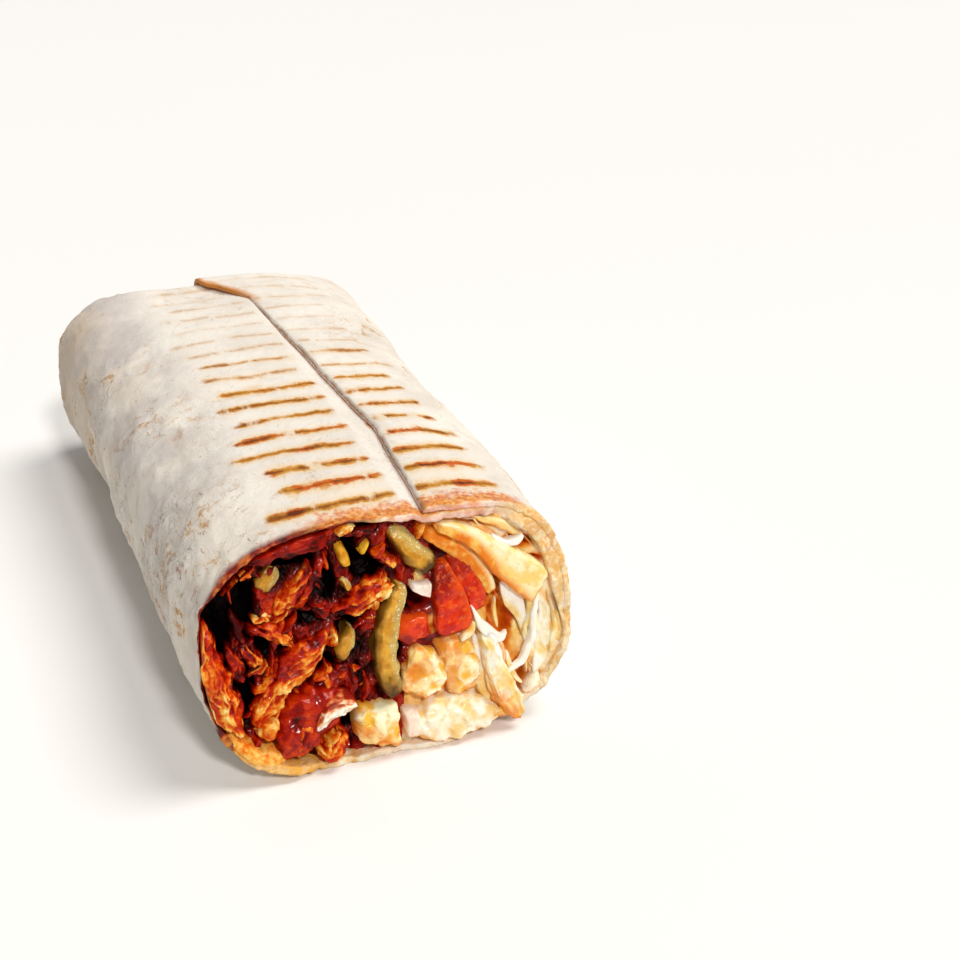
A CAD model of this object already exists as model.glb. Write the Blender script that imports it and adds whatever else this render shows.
# %% [markdown]
# # Half of a shawarma sandwich
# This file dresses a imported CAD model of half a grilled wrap. The CAD gives every piece its place and its
# rough size. Here each piece gets the fine shape and the finish that a cook would recognise: floury bread
# with toasted lines, wet chicken in dark red marinade, pickles, tomato, fries, cabbage and garlic sauce.

# %% Load the frame
import math
import random

import bmesh
import bpy
import numpy as np
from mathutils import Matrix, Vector, noise


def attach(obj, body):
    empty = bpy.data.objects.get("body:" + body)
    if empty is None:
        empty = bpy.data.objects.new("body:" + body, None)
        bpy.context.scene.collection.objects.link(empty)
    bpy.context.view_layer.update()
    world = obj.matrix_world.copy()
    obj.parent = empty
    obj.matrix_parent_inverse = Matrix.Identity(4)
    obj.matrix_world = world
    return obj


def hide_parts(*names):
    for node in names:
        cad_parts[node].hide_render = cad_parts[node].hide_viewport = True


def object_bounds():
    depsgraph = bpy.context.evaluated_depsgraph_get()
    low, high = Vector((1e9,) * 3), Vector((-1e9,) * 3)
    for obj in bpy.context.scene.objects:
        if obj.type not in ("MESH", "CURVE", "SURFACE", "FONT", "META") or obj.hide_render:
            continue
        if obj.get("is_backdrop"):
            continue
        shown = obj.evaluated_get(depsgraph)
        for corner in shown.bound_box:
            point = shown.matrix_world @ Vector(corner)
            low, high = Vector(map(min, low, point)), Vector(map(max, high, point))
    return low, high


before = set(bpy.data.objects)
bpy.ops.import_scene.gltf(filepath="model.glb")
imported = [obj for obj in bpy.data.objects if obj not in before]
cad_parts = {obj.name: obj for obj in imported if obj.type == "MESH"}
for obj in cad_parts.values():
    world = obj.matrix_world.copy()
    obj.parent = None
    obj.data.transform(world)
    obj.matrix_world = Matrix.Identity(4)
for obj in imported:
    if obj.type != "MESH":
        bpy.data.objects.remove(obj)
cad_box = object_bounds()
MM = 0.001
print("CAD box:", [[round(value / MM, 1) for value in corner] for corner in cad_box], "mm")

# %% [markdown]
# ## Camera, floor and light
# The sandwich lies on a white table and is seen from a little above, from the front left. A long lens keeps
# the far end from shrinking much. The light is one wide sun from above on the right, a narrow one from the
# front, which gives the glints, and a pale surrounding that fills the shadows. The camera itself sees that
# surrounding brighter than the food does, so that no grey band shows above the floor.

# %% Camera
CAMERA_TARGET = Vector((35.9, -30.46, 26.3)) * MM
CAMERA_DISTANCE = 316.4 * MM
CAMERA_AZIMUTH = math.radians(-22.05)
CAMERA_ELEVATION = math.radians(26.19)
LENS = 54.06

towards_camera = Vector((
    math.sin(CAMERA_AZIMUTH) * math.cos(CAMERA_ELEVATION),
    -math.cos(CAMERA_AZIMUTH) * math.cos(CAMERA_ELEVATION),
    math.sin(CAMERA_ELEVATION),
))
camera_data = bpy.data.cameras.new("camera")
camera_data.lens = LENS
camera_data.sensor_width = 36
camera_data.clip_start = 0.01
camera = bpy.data.objects.new("camera", camera_data)
camera.location = CAMERA_TARGET + towards_camera * CAMERA_DISTANCE
camera.rotation_euler = towards_camera.to_track_quat("Z", "Y").to_euler()
bpy.context.scene.collection.objects.link(camera)
bpy.context.scene.camera = camera
print("camera at", [round(value / MM) for value in camera.location], "mm")

# %% Floor, lights and surroundings
FLOOR_SIZE = 8.0
LIGHTS = {
    # name: (direction it comes from, width seen from the table in degrees, strength, colour)
    "key": ((0.55, 0.05, 1.0), 30, 1.9, (1.0, 0.97, 0.93)),
    "front": ((0.1, -1.0, 0.95), 9, 1.5, (1.0, 0.98, 0.95)),
}
SURROUNDINGS = (1.0, 0.99, 0.975)
SURROUNDINGS_STRENGTH = 0.26
BACKDROP_STRENGTH = 0.96

floor_bm = bmesh.new()
bmesh.ops.create_grid(floor_bm, x_segments=1, y_segments=1, size=FLOOR_SIZE / 2)
floor_mesh = bpy.data.meshes.new("floor")
floor_bm.to_mesh(floor_mesh)
floor_bm.free()
floor = bpy.data.objects.new("floor", floor_mesh)
bpy.context.scene.collection.objects.link(floor)
floor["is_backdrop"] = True

for name, (direction, width, strength, colour) in LIGHTS.items():
    light = bpy.data.lights.new(name, "SUN")
    light.angle = math.radians(width)
    light.energy = strength
    light.color = colour
    lamp = bpy.data.objects.new(name, light)
    lamp.rotation_euler = Vector(direction).to_track_quat("Z", "Y").to_euler()
    bpy.context.scene.collection.objects.link(lamp)

world = bpy.data.worlds.new("surroundings")
world.use_nodes = True
sky = world.node_tree
soft_light = sky.nodes["Background"]
backdrop = sky.nodes.new("ShaderNodeBackground")
for shader, strength in ((soft_light, SURROUNDINGS_STRENGTH), (backdrop, BACKDROP_STRENGTH)):
    shader.inputs["Color"].default_value = (*SURROUNDINGS, 1)
    shader.inputs["Strength"].default_value = strength
seen_directly = sky.nodes.new("ShaderNodeLightPath").outputs["Is Camera Ray"]
either = sky.nodes.new("ShaderNodeMixShader")
for number, socket in enumerate((seen_directly, soft_light.outputs[0], backdrop.outputs[0])):
    sky.links.new(socket, either.inputs[number])
sky.links.new(either.outputs[0], sky.nodes["World Output"].inputs["Surface"])
bpy.context.scene.world = world
bpy.context.scene.view_settings.view_transform = "Standard"
print(len(LIGHTS), "lights")

# %% [markdown]
# ## Helpers for materials
# A material is a graph of nodes. `add_node` places one node and sets or links its inputs. A `Value` is one
# output of a node, and sums and products of values add the math nodes, so a graph reads like a formula.
# `srgb` turns the 0-255 colours of a picture editor into Blender's linear ones.

# %% Node helpers
def srgb(red, green, blue):
    values = [channel / 255 for channel in (red, green, blue)]
    return [v / 12.92 if v <= 0.04045 else ((v + 0.055) / 1.055) ** 2.4 for v in values] + [1.0]


class Value:
    """One output of a node, to calculate with."""

    def __init__(self, socket):
        self.socket = socket
        self.tree = socket.id_data

    def __abs__(self):
        return math_node("ABSOLUTE", self)

    def __round__(self):
        return math_node("ROUND", self)


for sign, operation in (("add", "ADD"), ("sub", "SUBTRACT"), ("mul", "MULTIPLY"), ("truediv", "DIVIDE")):
    setattr(Value, f"__{sign}__", lambda a, b, operation=operation: math_node(operation, a, b))
    setattr(Value, f"__r{sign}__", lambda a, b, operation=operation: math_node(operation, b, a))


def set_inputs(node, **inputs):
    """Sets or links inputs, each by its name, with _ for a space, or as in0, in1, ... by its number."""
    for key, value in inputs.items():
        number = key[2:] if key.startswith("in") else ""
        socket = node.inputs[int(number)] if number.isdigit() else node.inputs[key.replace("_", " ")]
        if isinstance(value, Value):
            value.tree.links.new(value.socket, socket)
        else:
            socket.default_value = value


def add_node(tree, kind, settings=None, **inputs):
    node = tree.nodes.new("ShaderNode" + kind)
    for key, value in (settings or {}).items():
        setattr(node, key, value)
    set_inputs(node, **inputs)
    return node


def value_of(tree, kind, settings=None, output=0, **inputs):
    """One output of a new node."""
    return Value(add_node(tree, kind, settings, **inputs).outputs[output])


def math_node(operation, *values, clamp=False):
    tree = next(value.tree for value in values if isinstance(value, Value))
    inputs = {f"in{i}": value for i, value in enumerate(values)}
    return value_of(tree, "Math", {"operation": operation, "use_clamp": clamp}, **inputs)


def larger(first, second):
    return math_node("MAXIMUM", first, second)


def times_plus(value, factor, rest):
    return math_node("MULTIPLY_ADD", value, factor, rest)


def ease_node(value, start, end):
    """A mask that goes from 0 at start to 1 at end."""
    settings = {"interpolation_type": "SMOOTHSTEP"}
    return value_of(value.tree, "MapRange", settings, Value=value, From_Min=start, From_Max=end)


def mix_colours(mask, first, second):
    return value_of(mask.tree, "Mix", {"data_type": "RGBA"}, output=2, in0=mask, in6=first, in7=second)


def colour_steps(value, *steps):
    """A colour ramp through (position, colour) steps."""
    node = add_node(value.tree, "ValToRGB", Fac=value)
    ramp = node.color_ramp
    for position, colour in steps[1:-1]:
        ramp.elements.new(position).color = colour
    ramp.elements[0].position, ramp.elements[0].color = steps[0]
    ramp.elements[-1].position, ramp.elements[-1].color = steps[-1]
    return Value(node.outputs[0])


def three_colours(value, low, middle, high):
    """A colour ramp through three colours, each a (position, red, green, blue) with 0-255 colours."""
    return colour_steps(value, *((position, srgb(*colour)) for position, *colour in (low, middle, high)))


def object_place(tree):
    return value_of(tree, "TexCoord", output="Object")


def attribute(tree, name):
    return value_of(tree, "Attribute", {"attribute_name": name}, output="Fac")


def noise_mask(place, scale, detail=3.0, roughness=0.55, distortion=0.0):
    """Noise; the scale is in patches per metre."""
    settings = dict(Scale=scale, Detail=detail, Roughness=roughness, Distortion=distortion)
    return value_of(place.tree, "TexNoise", Vector=place, **settings)


def stretched(place, scale):
    return value_of(place.tree, "Mapping", Vector=place, Scale=scale)


def new_material(name, roughness, **shader_values):
    material = bpy.data.materials.new(name)
    material.use_nodes = True
    shader = material.node_tree.nodes["Principled BSDF"]
    set_inputs(shader, Roughness=roughness, **shader_values)
    return material, material.node_tree, shader


def new_group(name, inputs, outputs):
    """A shader node group with named inputs (value) and outputs (kind)."""
    group = bpy.data.node_groups.new(name, "ShaderNodeTree")
    for key, value in inputs.items():
        group.interface.new_socket(key, in_out="INPUT", socket_type="NodeSocketFloat").default_value = value
    for key, kind in outputs.items():
        group.interface.new_socket(key, in_out="OUTPUT", socket_type="NodeSocket" + kind)
    given = {socket.name: Value(socket) for socket in group.nodes.new("NodeGroupInput").outputs}
    return group, given, group.nodes.new("NodeGroupOutput")


def use_group(tree, group, **inputs):
    node = add_node(tree, "Group", {"node_tree": group}, **inputs)
    return {socket.name: Value(socket) for socket in node.outputs}


print("helpers ready")

# %% Floor material
FLOOR_COLOUR = srgb(250, 249, 247)
floor_look, tree, shader = new_material("floor_white", 0.6)
place = object_place(tree)
shade = noise_mask(place, 3.0)
set_inputs(shader, Base_Color=mix_colours(shade, FLOOR_COLOUR, srgb(248, 247, 245)))
floor.data.materials.append(floor_look)

# %% [markdown]
# ## Effects that several foods share
# Two effects turn up on many pieces, so each is a node group: `wet_grain` is the fine unevenness of moist
# food, which breaks its highlights into glints, and `oil_stain` is where orange oil from the marinade has
# soaked into pale pieces.

# %% Shared effects
WET_GRAIN, given, result = new_group(
    "wet_grain", {"Size": 900.0, "Depth": 0.2, "Fine Depth": 0.08}, {"Normal": "Vector"}
)
place = object_place(WET_GRAIN)
coarse = noise_mask(place, given["Size"], detail=2.0)
fine = noise_mask(place, given["Size"] * 3.1, detail=2.0)
height = coarse * given["Depth"] + fine * given["Fine Depth"]
set_inputs(result, Normal=value_of(WET_GRAIN, "Bump", Strength=1.0, Distance=1 * MM, Height=height))

OIL_STAIN, given, result = new_group(
    "oil_stain", {"Amount": 0.5, "Size": 260.0, "Seed": 0.0}, {"Mask": "Float", "Spots": "Float"}
)
place = object_place(OIL_STAIN)
moved = value_of(OIL_STAIN, "VectorMath", {"operation": "ADD"}, in0=place, in1=given["Seed"])
patches = noise_mask(moved, given["Size"], detail=4.0, roughness=0.6, distortion=0.6)
low = 0.78 - given["Amount"] * 0.5
set_inputs(result, Mask=ease_node(patches, low, low + 0.16))
specks = noise_mask(moved, 1400.0, detail=1.0)
set_inputs(result, Spots=ease_node(specks, 0.66, 0.72))


def wet(shader, **grain):
    """Gives this finish the fine unevenness of moist food."""
    set_inputs(shader, Normal=use_group(shader.id_data, WET_GRAIN, **grain)["Normal"])


print("shared effects:", WET_GRAIN.name, OIL_STAIN.name)

# %% [markdown]
# ## The roll
# The bread is one sheet rolled for a turn and a quarter. Its cross-section is a superellipse, which is an
# oval with a squareness, walked clockwise from the top. Every point of the roll is given by its share of
# that walk, by t from the cut (0) to the far end (1), and by its depth under the surface. The sizes are the
# ones the CAD was built from, so the fine model lies where the plain one did. Only the bread beside the seam
# dips less, which keeps the seam a thin line.

# %% Sizes of the roll
HALF_WIDTH = (36 * MM, 41 * MM)
HALF_HEIGHT = (22.1 * MM, 22.5 * MM)
FAR_END_ROUNDING = 10 * MM
BODY_END_Y = 72.5 * MM
CORNERS_AT_CUT = np.array((3.3, 2.6, 3.3, 2.6))
CORNERS_AT_FAR_END = np.array((3.2, 3.2, 3.2, 3.2))
CUT_SLOPE = math.tan(math.radians(16.5))
CUT_Y = -76.3 * MM
BREAD = 1.3 * MM
LAYER_STEP = 1.65 * MM
DIP_BY_SEAM = 0.7 * MM
TURNS = 1.25
SEAM_AT = 0.044
SEAM_DRIFT = ((0, 0.27, 0.66, 0.88, 1.0), (0, 0.013, -0.002, -0.012, -0.056))
FLAP_LIFT = 1.6 * MM
SINK_OF_FAR_END = 3 * MM
FAR_HOLE = 0.06
SAG = 0.25 * MM
SECTION_AROUND = 205 * MM
DENTS = (
    (0.73, 30 * MM, 1.7 * MM, 15 * MM),
    (0.86, -20 * MM, 1.1 * MM, 17 * MM),
    (0.78, -52 * MM, -0.9 * MM, 16 * MM),
    (0.20, 5 * MM, 0.9 * MM, 22 * MM),
    (0.95, 66 * MM, 1.3 * MM, 14 * MM),
)
# The CAD's origin was moved under the middle of its box by this much
ORIGIN_SHIFT = np.array((-0.0099, -0.1612, 0.0)) * MM


def mix(a, b, t):
    return a + (b - a) * t


def ease(start, end, value):
    """0 before start, 1 after end, and an even ease between them."""
    t = np.clip((value - start) / (end - start), 0, 1)
    return t * t * (3 - 2 * t)


def signed_power(value, power):
    return np.sign(value) * np.abs(value) ** power


# %% Walking the cross-section
ANGLES = np.linspace(0, 2 * math.pi, 721)
T_STEPS = np.linspace(0, 1, 41)


def corner_power(angle, t):
    """Squareness of the corner at this angle."""
    quadrant = np.minimum((angle % (2 * math.pi)) // (math.pi / 2), 3).astype(int)
    return mix(CORNERS_AT_CUT[quadrant], CORNERS_AT_FAR_END[quadrant], t)


def half_sizes(t):
    return mix(*HALF_WIDTH, t), mix(*HALF_HEIGHT, ease(0.0, 0.12, t))


def on_oval(angle, half_width, half_height, t):
    power = 2 / corner_power(angle, t)
    return half_width * signed_power(np.sin(angle), power), half_height * signed_power(np.cos(angle), power)


def walked_lengths(t):
    x, z = on_oval(ANGLES - 1e-9 * (ANGLES > 6), *half_sizes(t), t)
    walked = np.concatenate([[0], np.cumsum(np.hypot(np.diff(x), np.diff(z)))])
    return walked / walked[-1]


WALKED = np.array([walked_lengths(t) for t in T_STEPS])
SHARES = np.linspace(0, 1, 721)
ANGLE_AT = np.array([np.interp(SHARES, walked, ANGLES) for walked in WALKED])


def look_up(table, t, column):
    """A table of rows by t and columns by a 0..1 walk, read between its entries."""
    row = np.clip(t, 0, 1) * (len(T_STEPS) - 1)
    low = np.minimum(row.astype(int), len(T_STEPS) - 2)
    place = (column % 1.0) * (table.shape[1] - 1)
    left = np.minimum(place.astype(int), table.shape[1] - 2)
    across = place - left
    first = mix(table[low, left], table[low, left + 1], across)
    second = mix(table[low + 1, left], table[low + 1, left + 1], across)
    return mix(first, second, row - low)


def section_point(share, half_width, half_height, t):
    """x and z from the section's centre; share 0 is the top, 0.25 the right side, 0.5 the bottom."""
    return on_oval(look_up(ANGLE_AT, t, share), half_width, half_height, t)


def share_of(x, rise, t):
    """Share of the walk at this direction from the centre."""
    half_width, half_height = half_sizes(t)
    rough = np.arctan2(x, rise) % (2 * math.pi)
    n = corner_power(rough, t)
    angle = np.arctan2(signed_power(x / half_width, n / 2), signed_power(rise / half_height, n / 2))
    return look_up(WALKED, t, angle / (2 * math.pi))


print("section table:", ANGLE_AT.shape)

# %% Noise and dents
# Blender takes the offsets of its noise vectors from the clock unless a seed is set
NOISE_SEED = 1
noise.seed_set(NOISE_SEED)


def noise_at(points, size, offset=(0, 0, 0)):
    """Soft noise between -1 and 1 with patches of this size, at each row of points."""
    shift = Vector(offset)
    return np.array([noise.noise(Vector(point) / size + shift) for point in points])


def noise_vectors_at(points, size, offset=(0, 0, 0)):
    shift = Vector(offset)
    return np.array([noise.noise_vector(Vector(point) / size + shift) for point in points])


def plateau(share, middle, half_width, edge):
    off = np.abs((share - middle + 0.5) % 1.0 - 0.5)
    return 1 - ease(half_width, half_width + edge, off)


def cut_y(height):
    """Where the knife's plane is at this height; it leans back."""
    return CUT_Y + (height - HALF_HEIGHT[0]) * CUT_SLOPE


def along_body(y, height):
    return np.clip((y - cut_y(height)) / (BODY_END_Y - cut_y(height)), 0, 1)


def ragged(share):
    """How far the torn rim stands out of the cut."""
    wobble = 0.4 * MM * np.sin(2 * math.pi * 5 * share) + 0.3 * MM * np.sin(2 * math.pi * 13 * share + 1)
    tongue = 0.9 * MM * plateau(share, 0.625, 0.01, 0.05)
    set_back = 2.2 * MM * (plateau(share, 0.755, 0.045, 0.03) + plateau(share, 0.405, 0.012, 0.03))
    return wobble + tongue - set_back


def relief(share, y, points):
    """Depth of the soft dents and waves, the same for every layer of the bread."""
    away_from_cut = ease(CUT_Y, CUT_Y + 16 * MM, y)
    lying = plateau(share, 0.5, 0.07, 0.07)
    depth = 0.7 * MM * noise_at(points, 17 * MM)
    for dent_share, dent_y, dent_depth, radius in DENTS:
        across = ((share - dent_share + 0.5) % 1.0 - 0.5) * SECTION_AROUND
        depth = depth + dent_depth * np.exp(-(across**2 + (y - dent_y) ** 2) / radius**2)
    return depth * away_from_cut * (1 - lying) - SAG * lying


def sheet_share(turn, t):
    return SEAM_AT + turn + np.interp(t, *SEAM_DRIFT) * (1 - ease(0.0, 0.12, turn))


def layer_depth(turn, t):
    """How deep the bread's outer face lies at this turn of the roll."""
    at_cut = 1 - ease(0.0, 0.10, t)
    depth = mix(DIP_BY_SEAM * ease(0.80, 0.99, turn), LAYER_STEP, ease(0.987, 1.0, turn))
    depth = depth + (0.9 * MM * ease(1.06, 1.18, turn) + 0.5 * MM * ease(1.17, TURNS, turn)) * at_cut
    return depth - FLAP_LIFT * ease(0.84, 0.97, t) * np.exp(-turn / 0.022)


# %% Meshes
PIECE_LAYERS = ("along", "side", "depth", "height", "tone")


def new_mesh(layers=PIECE_LAYERS):
    """An empty bmesh that can store these values on its vertices."""
    bm = bmesh.new()
    for name in layers:
        bm.verts.layers.float.new(name)
    return bm


def place_verts(bm, verts, points, **values):
    """Moves vertices to their points, and stores the values of each one for the materials."""
    layers = [bm.verts.layers.float.get(name) for name in values]
    for vert, point, stored in zip(verts, points + ORIGIN_SHIFT, zip(*values.values())):
        vert.co = point
        for layer, value in zip(layers, stored):
            vert[layer] = value


def finish_mesh(name, bm, look):
    """The bmesh as an object at the origin, with one material."""
    bmesh.ops.recalc_face_normals(bm, faces=bm.faces[:])
    if bm.calc_volume(signed=True) < 0:
        bmesh.ops.reverse_faces(bm, faces=bm.faces[:])
    for face in bm.faces:
        face.smooth = True
    mesh = bpy.data.meshes.new(name)
    bm.to_mesh(mesh)
    bm.free()
    mesh.materials.append(look)
    piece = bpy.data.objects.new(name, mesh)
    bpy.context.scene.collection.objects.link(piece)
    normals = np.zeros(len(mesh.vertices) * 3)
    mesh.vertices.foreach_get("normal", normals)
    facing_up = mesh.attributes.new("facing_up", "FLOAT", "POINT")
    facing_up.data.foreach_set("value", normals[2::3].astype(np.float32))
    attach(piece, "root")
    print(f"{name}: {sum(len(face.vertices) - 2 for face in mesh.polygons)} triangles")
    return piece


# %% [markdown]
# ## The flatbread
# The real bread is a thin wheat round, rolled tight, then pressed in a ribbed grill. I start from two flat
# grids, the two faces of the sheet, roll them, and bridge their edges, which gives a closed sheet with a
# real thickness and a torn rim. A solidify modifier could give the thickness too, but its rim would be
# clean. Wrinkles and blisters are real relief here, and only flour, crumb and the finest creases are left
# to the material.

# %% The wall of the roll
BODY_SHARE = 11 / 18
TURN_SHARE = 3 / 18
FAR_PLEATS = 13


def wall_points(share, row, depth, detail):
    """Points of the roll's wall. row runs 0..1 from the cut, round the far end, to the middle of its face."""
    t = np.clip(row / BODY_SHARE, 0, 1) ** 1.3
    quarter = np.clip((row - BODY_SHARE) / TURN_SHARE, 0, 1) * math.pi / 2
    close = np.clip((row - BODY_SHARE - TURN_SHARE) / (1 - BODY_SHARE - TURN_SHARE), 0, 1)
    half_width, half_height = half_sizes(t)
    x, z = section_point(share, half_width, half_height, t)
    y = mix(cut_y(half_height + z), BODY_END_Y, t)
    depth = depth + relief(share, y, np.column_stack([x, y, z])) * np.cos(quarter)
    depth = depth + detail
    inset = depth + (FAR_END_ROUNDING - depth) * (1 - np.cos(quarter))
    shrink = mix(1.0, FAR_HOLE, close)
    x, z = section_point(share, (half_width - inset) * shrink, (half_height - inset) * shrink, t)
    y = mix(cut_y(half_height + z) - ragged(share) * ease(0.10, 0.0, t), BODY_END_Y, t)
    y = y + (FAR_END_ROUNDING - depth) * np.sin(quarter) - SINK_OF_FAR_END * close**2
    fold = np.sin(2 * math.pi * 6 * share + 5 * close) * np.sin(math.pi * close)
    pleat = np.abs(np.sin(math.pi * (FAR_PLEATS * share + 1.6 * close))) ** 0.7
    y = y + (0.7 * fold - pleat * np.sin(math.pi * close) ** 0.7) * MM
    return np.column_stack([x, y, np.maximum(half_height + z, 0.0)])


# %% Fine relief of the bread
def crease_height(points, size, offset):
    """Thin raised lines where bread has been crumpled, 0..1."""
    warped = points + noise_vectors_at(points, size * 2.2, offset) * size * 0.8
    return np.maximum(0, 1 - np.abs(noise_at(warped, size, offset)) * 5.5) ** 1.5


def bread_relief(share, row, turn, outer):
    """Depth of the wrinkles, blisters and grill press, at unwrapped places on the sheet."""
    t = np.clip(row / BODY_SHARE, 0, 1) ** 1.3
    along = mix(-70 * MM, BODY_END_Y, t) + np.maximum(row - BODY_SHARE, 0) * 60 * MM
    flat = np.column_stack([share * SECTION_AROUND, along, turn * 30 * MM])
    pressed = plateau(share, 0.02, 0.09, 0.05)
    crumpled = plateau(share, 0.78, 0.13, 0.08)
    soft = 0.22 * noise_at(flat, 7 * MM) + 0.10 * noise_at(flat, 3 * MM, (5, 0, 0))
    creases = 0.20 * crease_height(flat, 6 * MM, (0, 3, 0)) + 0.10 * crease_height(flat, 2.6 * MM, (9, 0, 0))
    blisters = 0.35 * np.maximum(0, noise_at(flat, 4 * MM, (0, 0, 8)) - 0.42)
    depth = soft - (creases + blisters)
    strength = (0.75 + 0.75 * crumpled) * (1 - 0.6 * pressed) * outer
    return depth * strength * MM


# %% Rolling the sheet
COLUMNS, ROWS = ((310, 150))
BODY_ROWS_PART = 0.72
CRUMB_CUTS = 3


def make_flatbread(look):
    bm = new_mesh(("share", "behind", "inside", "turn"))
    bmesh.ops.create_grid(bm, x_segments=COLUMNS, y_segments=ROWS, size=1)
    copied = bmesh.ops.duplicate(bm, geom=bm.verts[:] + bm.edges[:] + bm.faces[:])["geom"]
    inner = {item for item in copied if isinstance(item, bmesh.types.BMVert)}
    bmesh.ops.reverse_faces(bm, faces=[item for item in copied if isinstance(item, bmesh.types.BMFace)])
    verts = bm.verts[:]
    flat = np.array([vert.co for vert in verts])
    inside = np.array([1.0 if vert in inner else 0.0 for vert in verts])
    turn = (flat[:, 0] + 1) / 2 * TURNS
    v = (flat[:, 1] + 1) / 2
    row = np.where(v < BODY_ROWS_PART, v / BODY_ROWS_PART * BODY_SHARE,
                   BODY_SHARE + (v - BODY_ROWS_PART) / (1 - BODY_ROWS_PART) * (1 - BODY_SHARE))
    t = np.clip(row / BODY_SHARE, 0, 1) ** 1.3
    share = sheet_share(turn, t)
    edge_thinning = 0.4 * np.exp(-turn / 0.004)
    left_and_top = plateau(share, 0.85, 0.12, 0.06) * ease(0.06, 0.0, t)
    under = ease(1.01, 1.05, turn)
    rolled = layer_depth(turn, t)
    outer_face = mix(rolled + BREAD * edge_thinning, np.minimum(rolled, BREAD - 0.1 * MM), under)
    inner_face = rolled + BREAD * (1 - 0.72 * left_and_top)
    inner_face = mix(inner_face, BREAD + 0.15 * MM, ease(TURNS - 0.07, TURNS, turn))
    depth = np.where(inside > 0, inner_face, outer_face)
    detail = bread_relief(share, row, turn, 1 - 0.5 * inside)
    points = wall_points(share, row, depth, detail)
    at_rim = ease(0.02, 0.0, t)
    torn = noise_at(points, 1.3 * MM, (0, 0, 40)) * 0.55 + noise_at(points, 3.5 * MM, (0, 0, 60)) * 0.6
    points[:, 1] -= at_rim * torn * MM * (1 + 0.7 * ease(8 * MM, 26 * MM, points[:, 0]))
    behind = points[:, 1] - cut_y(points[:, 2])
    place_verts(bm, verts, points, share=share % 1.0, behind=behind / MM, inside=inside, turn=turn)
    crumb = bmesh.ops.bridge_loops(bm, edges=[edge for edge in bm.edges if edge.is_boundary])["edges"]
    cut = bmesh.ops.subdivide_edges(bm, edges=crumb, cuts=CRUMB_CUTS, use_grid_fill=True)
    for item in cut["geom_inner"]:
        if isinstance(item, bmesh.types.BMVert):
            item.co += noise.noise_vector(item.co / (0.9 * MM)) * 0.22 * MM
            item.co.z = max(item.co.z, 0.02 * MM)
    return finish_mesh("flatbread_sheet", bm, look)


# %% [markdown]
# ### Bread finish
# From far away the bread is white with a hint of lavender grey where flour lies on it, and warmer where it
# is thin. Grill marks are lines across the roll, 8.3 mm apart, dark brown in the middle with a tan halo,
# strong near the cut and faint at the far end, and broken where the bread did not touch the rib. They are
# placed by the object's own coordinates, on top and underneath, so each one goes on beyond the seam. It
# stops just before the seam, where the bread dips away from the grill.

# %% Bread material
MARK_PITCH = 8.3 * MM
FIRST_MARK_Y = -71.2 * MM

bread_look, tree, shader = new_material("bread_floury", 0.8, Subsurface_Weight=0.08, Specular_IOR_Level=0.3)
set_inputs(shader, Subsurface_Radius=(1.0, 0.7, 0.5), Subsurface_Scale=1.5 * MM)
place = object_place(tree)
axes = add_node(tree, "SeparateXYZ", Vector=place).outputs
x_mm, y_mm, z_mm = (Value(axis) * 1000.0 for axis in axes)
share, behind, inside, turn = (attribute(tree, name) for name in ("share", "behind", "inside", "turn"))

# Flour and thin spots
patches = noise_mask(place, 55.0, detail=5.0, roughness=0.6)
colour = three_colours(patches, (0.30, 222, 211, 196), (0.48, 234, 225, 212), (0.62, 242, 234, 221))
cloud = ease_node(noise_mask(place, 130.0, detail=4.0, distortion=0.8), 0.48, 0.66)
colour = mix_colours(cloud * 0.5, colour, srgb(216, 203, 190))

whiter = ease_node(z_mm, 40.5, 43.5) * 0.3
colour = mix_colours(whiter, colour, srgb(250, 245, 238))

far_tan = ease_node(y_mm, 10.0, 64.0) * ease_node(x_mm, -22.0, -36.0)
colour = mix_colours(far_tan * 0.6, colour, srgb(204, 182, 156))

# Toasted squiggles where small folds of the dough touched the grill, in loose groups
folds = noise_mask(stretched(place, (1.2, 0.8, 1.1)), 230.0, detail=3.0, distortion=1.4)
fold_line = ease_node(abs(folds - 0.5), 0.022, 0.004)
here_and_there = ease_node(noise_mask(place, 330.0, detail=1.0), 0.56, 0.64)
groups = ease_node(noise_mask(place, 36.0, detail=2.0), 0.44, 0.54)
freckle = ease_node(noise_mask(place, 520.0, detail=3.0), 0.66, 0.73)
squiggle = larger(fold_line * here_and_there, freckle * 0.7)
squiggle = math_node("MULTIPLY", squiggle, groups, clamp=True)
low_sides = ease_node(z_mm, 44.6, 40.0)
squiggle = squiggle * times_plus(low_sides, 0.65, 0.35)
colour = mix_colours(squiggle, colour, srgb(172, 122, 74))
blot = noise_mask(stretched(place, (1.0, 0.8, 1.0)), 190.0, detail=4.0, distortion=0.6)
blot = blot * times_plus(groups, 0.12, 0.88)
dry = ease_node(blot, 0.53, 0.6) * (low_sides * 0.55)
colour = mix_colours(dry, colour, srgb(228, 204, 166))
blot = ease_node(blot, 0.565, 0.61) * ease_node(noise_mask(place, 800.0), 0.4, 0.56)
colour = mix_colours(blot * (low_sides * 0.8), colour, srgb(188, 130, 66))

# Pale creases from rolling
crumple = noise_mask(place, 95.0, detail=4.0, distortion=1.0)
crease = ease_node(abs(crumple - 0.5), 0.016, 0.0)
crease = crease * ease_node(noise_mask(place, 60.0), 0.48, 0.6)
colour = mix_colours(crease * 0.45, colour, srgb(250, 246, 240))

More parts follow.
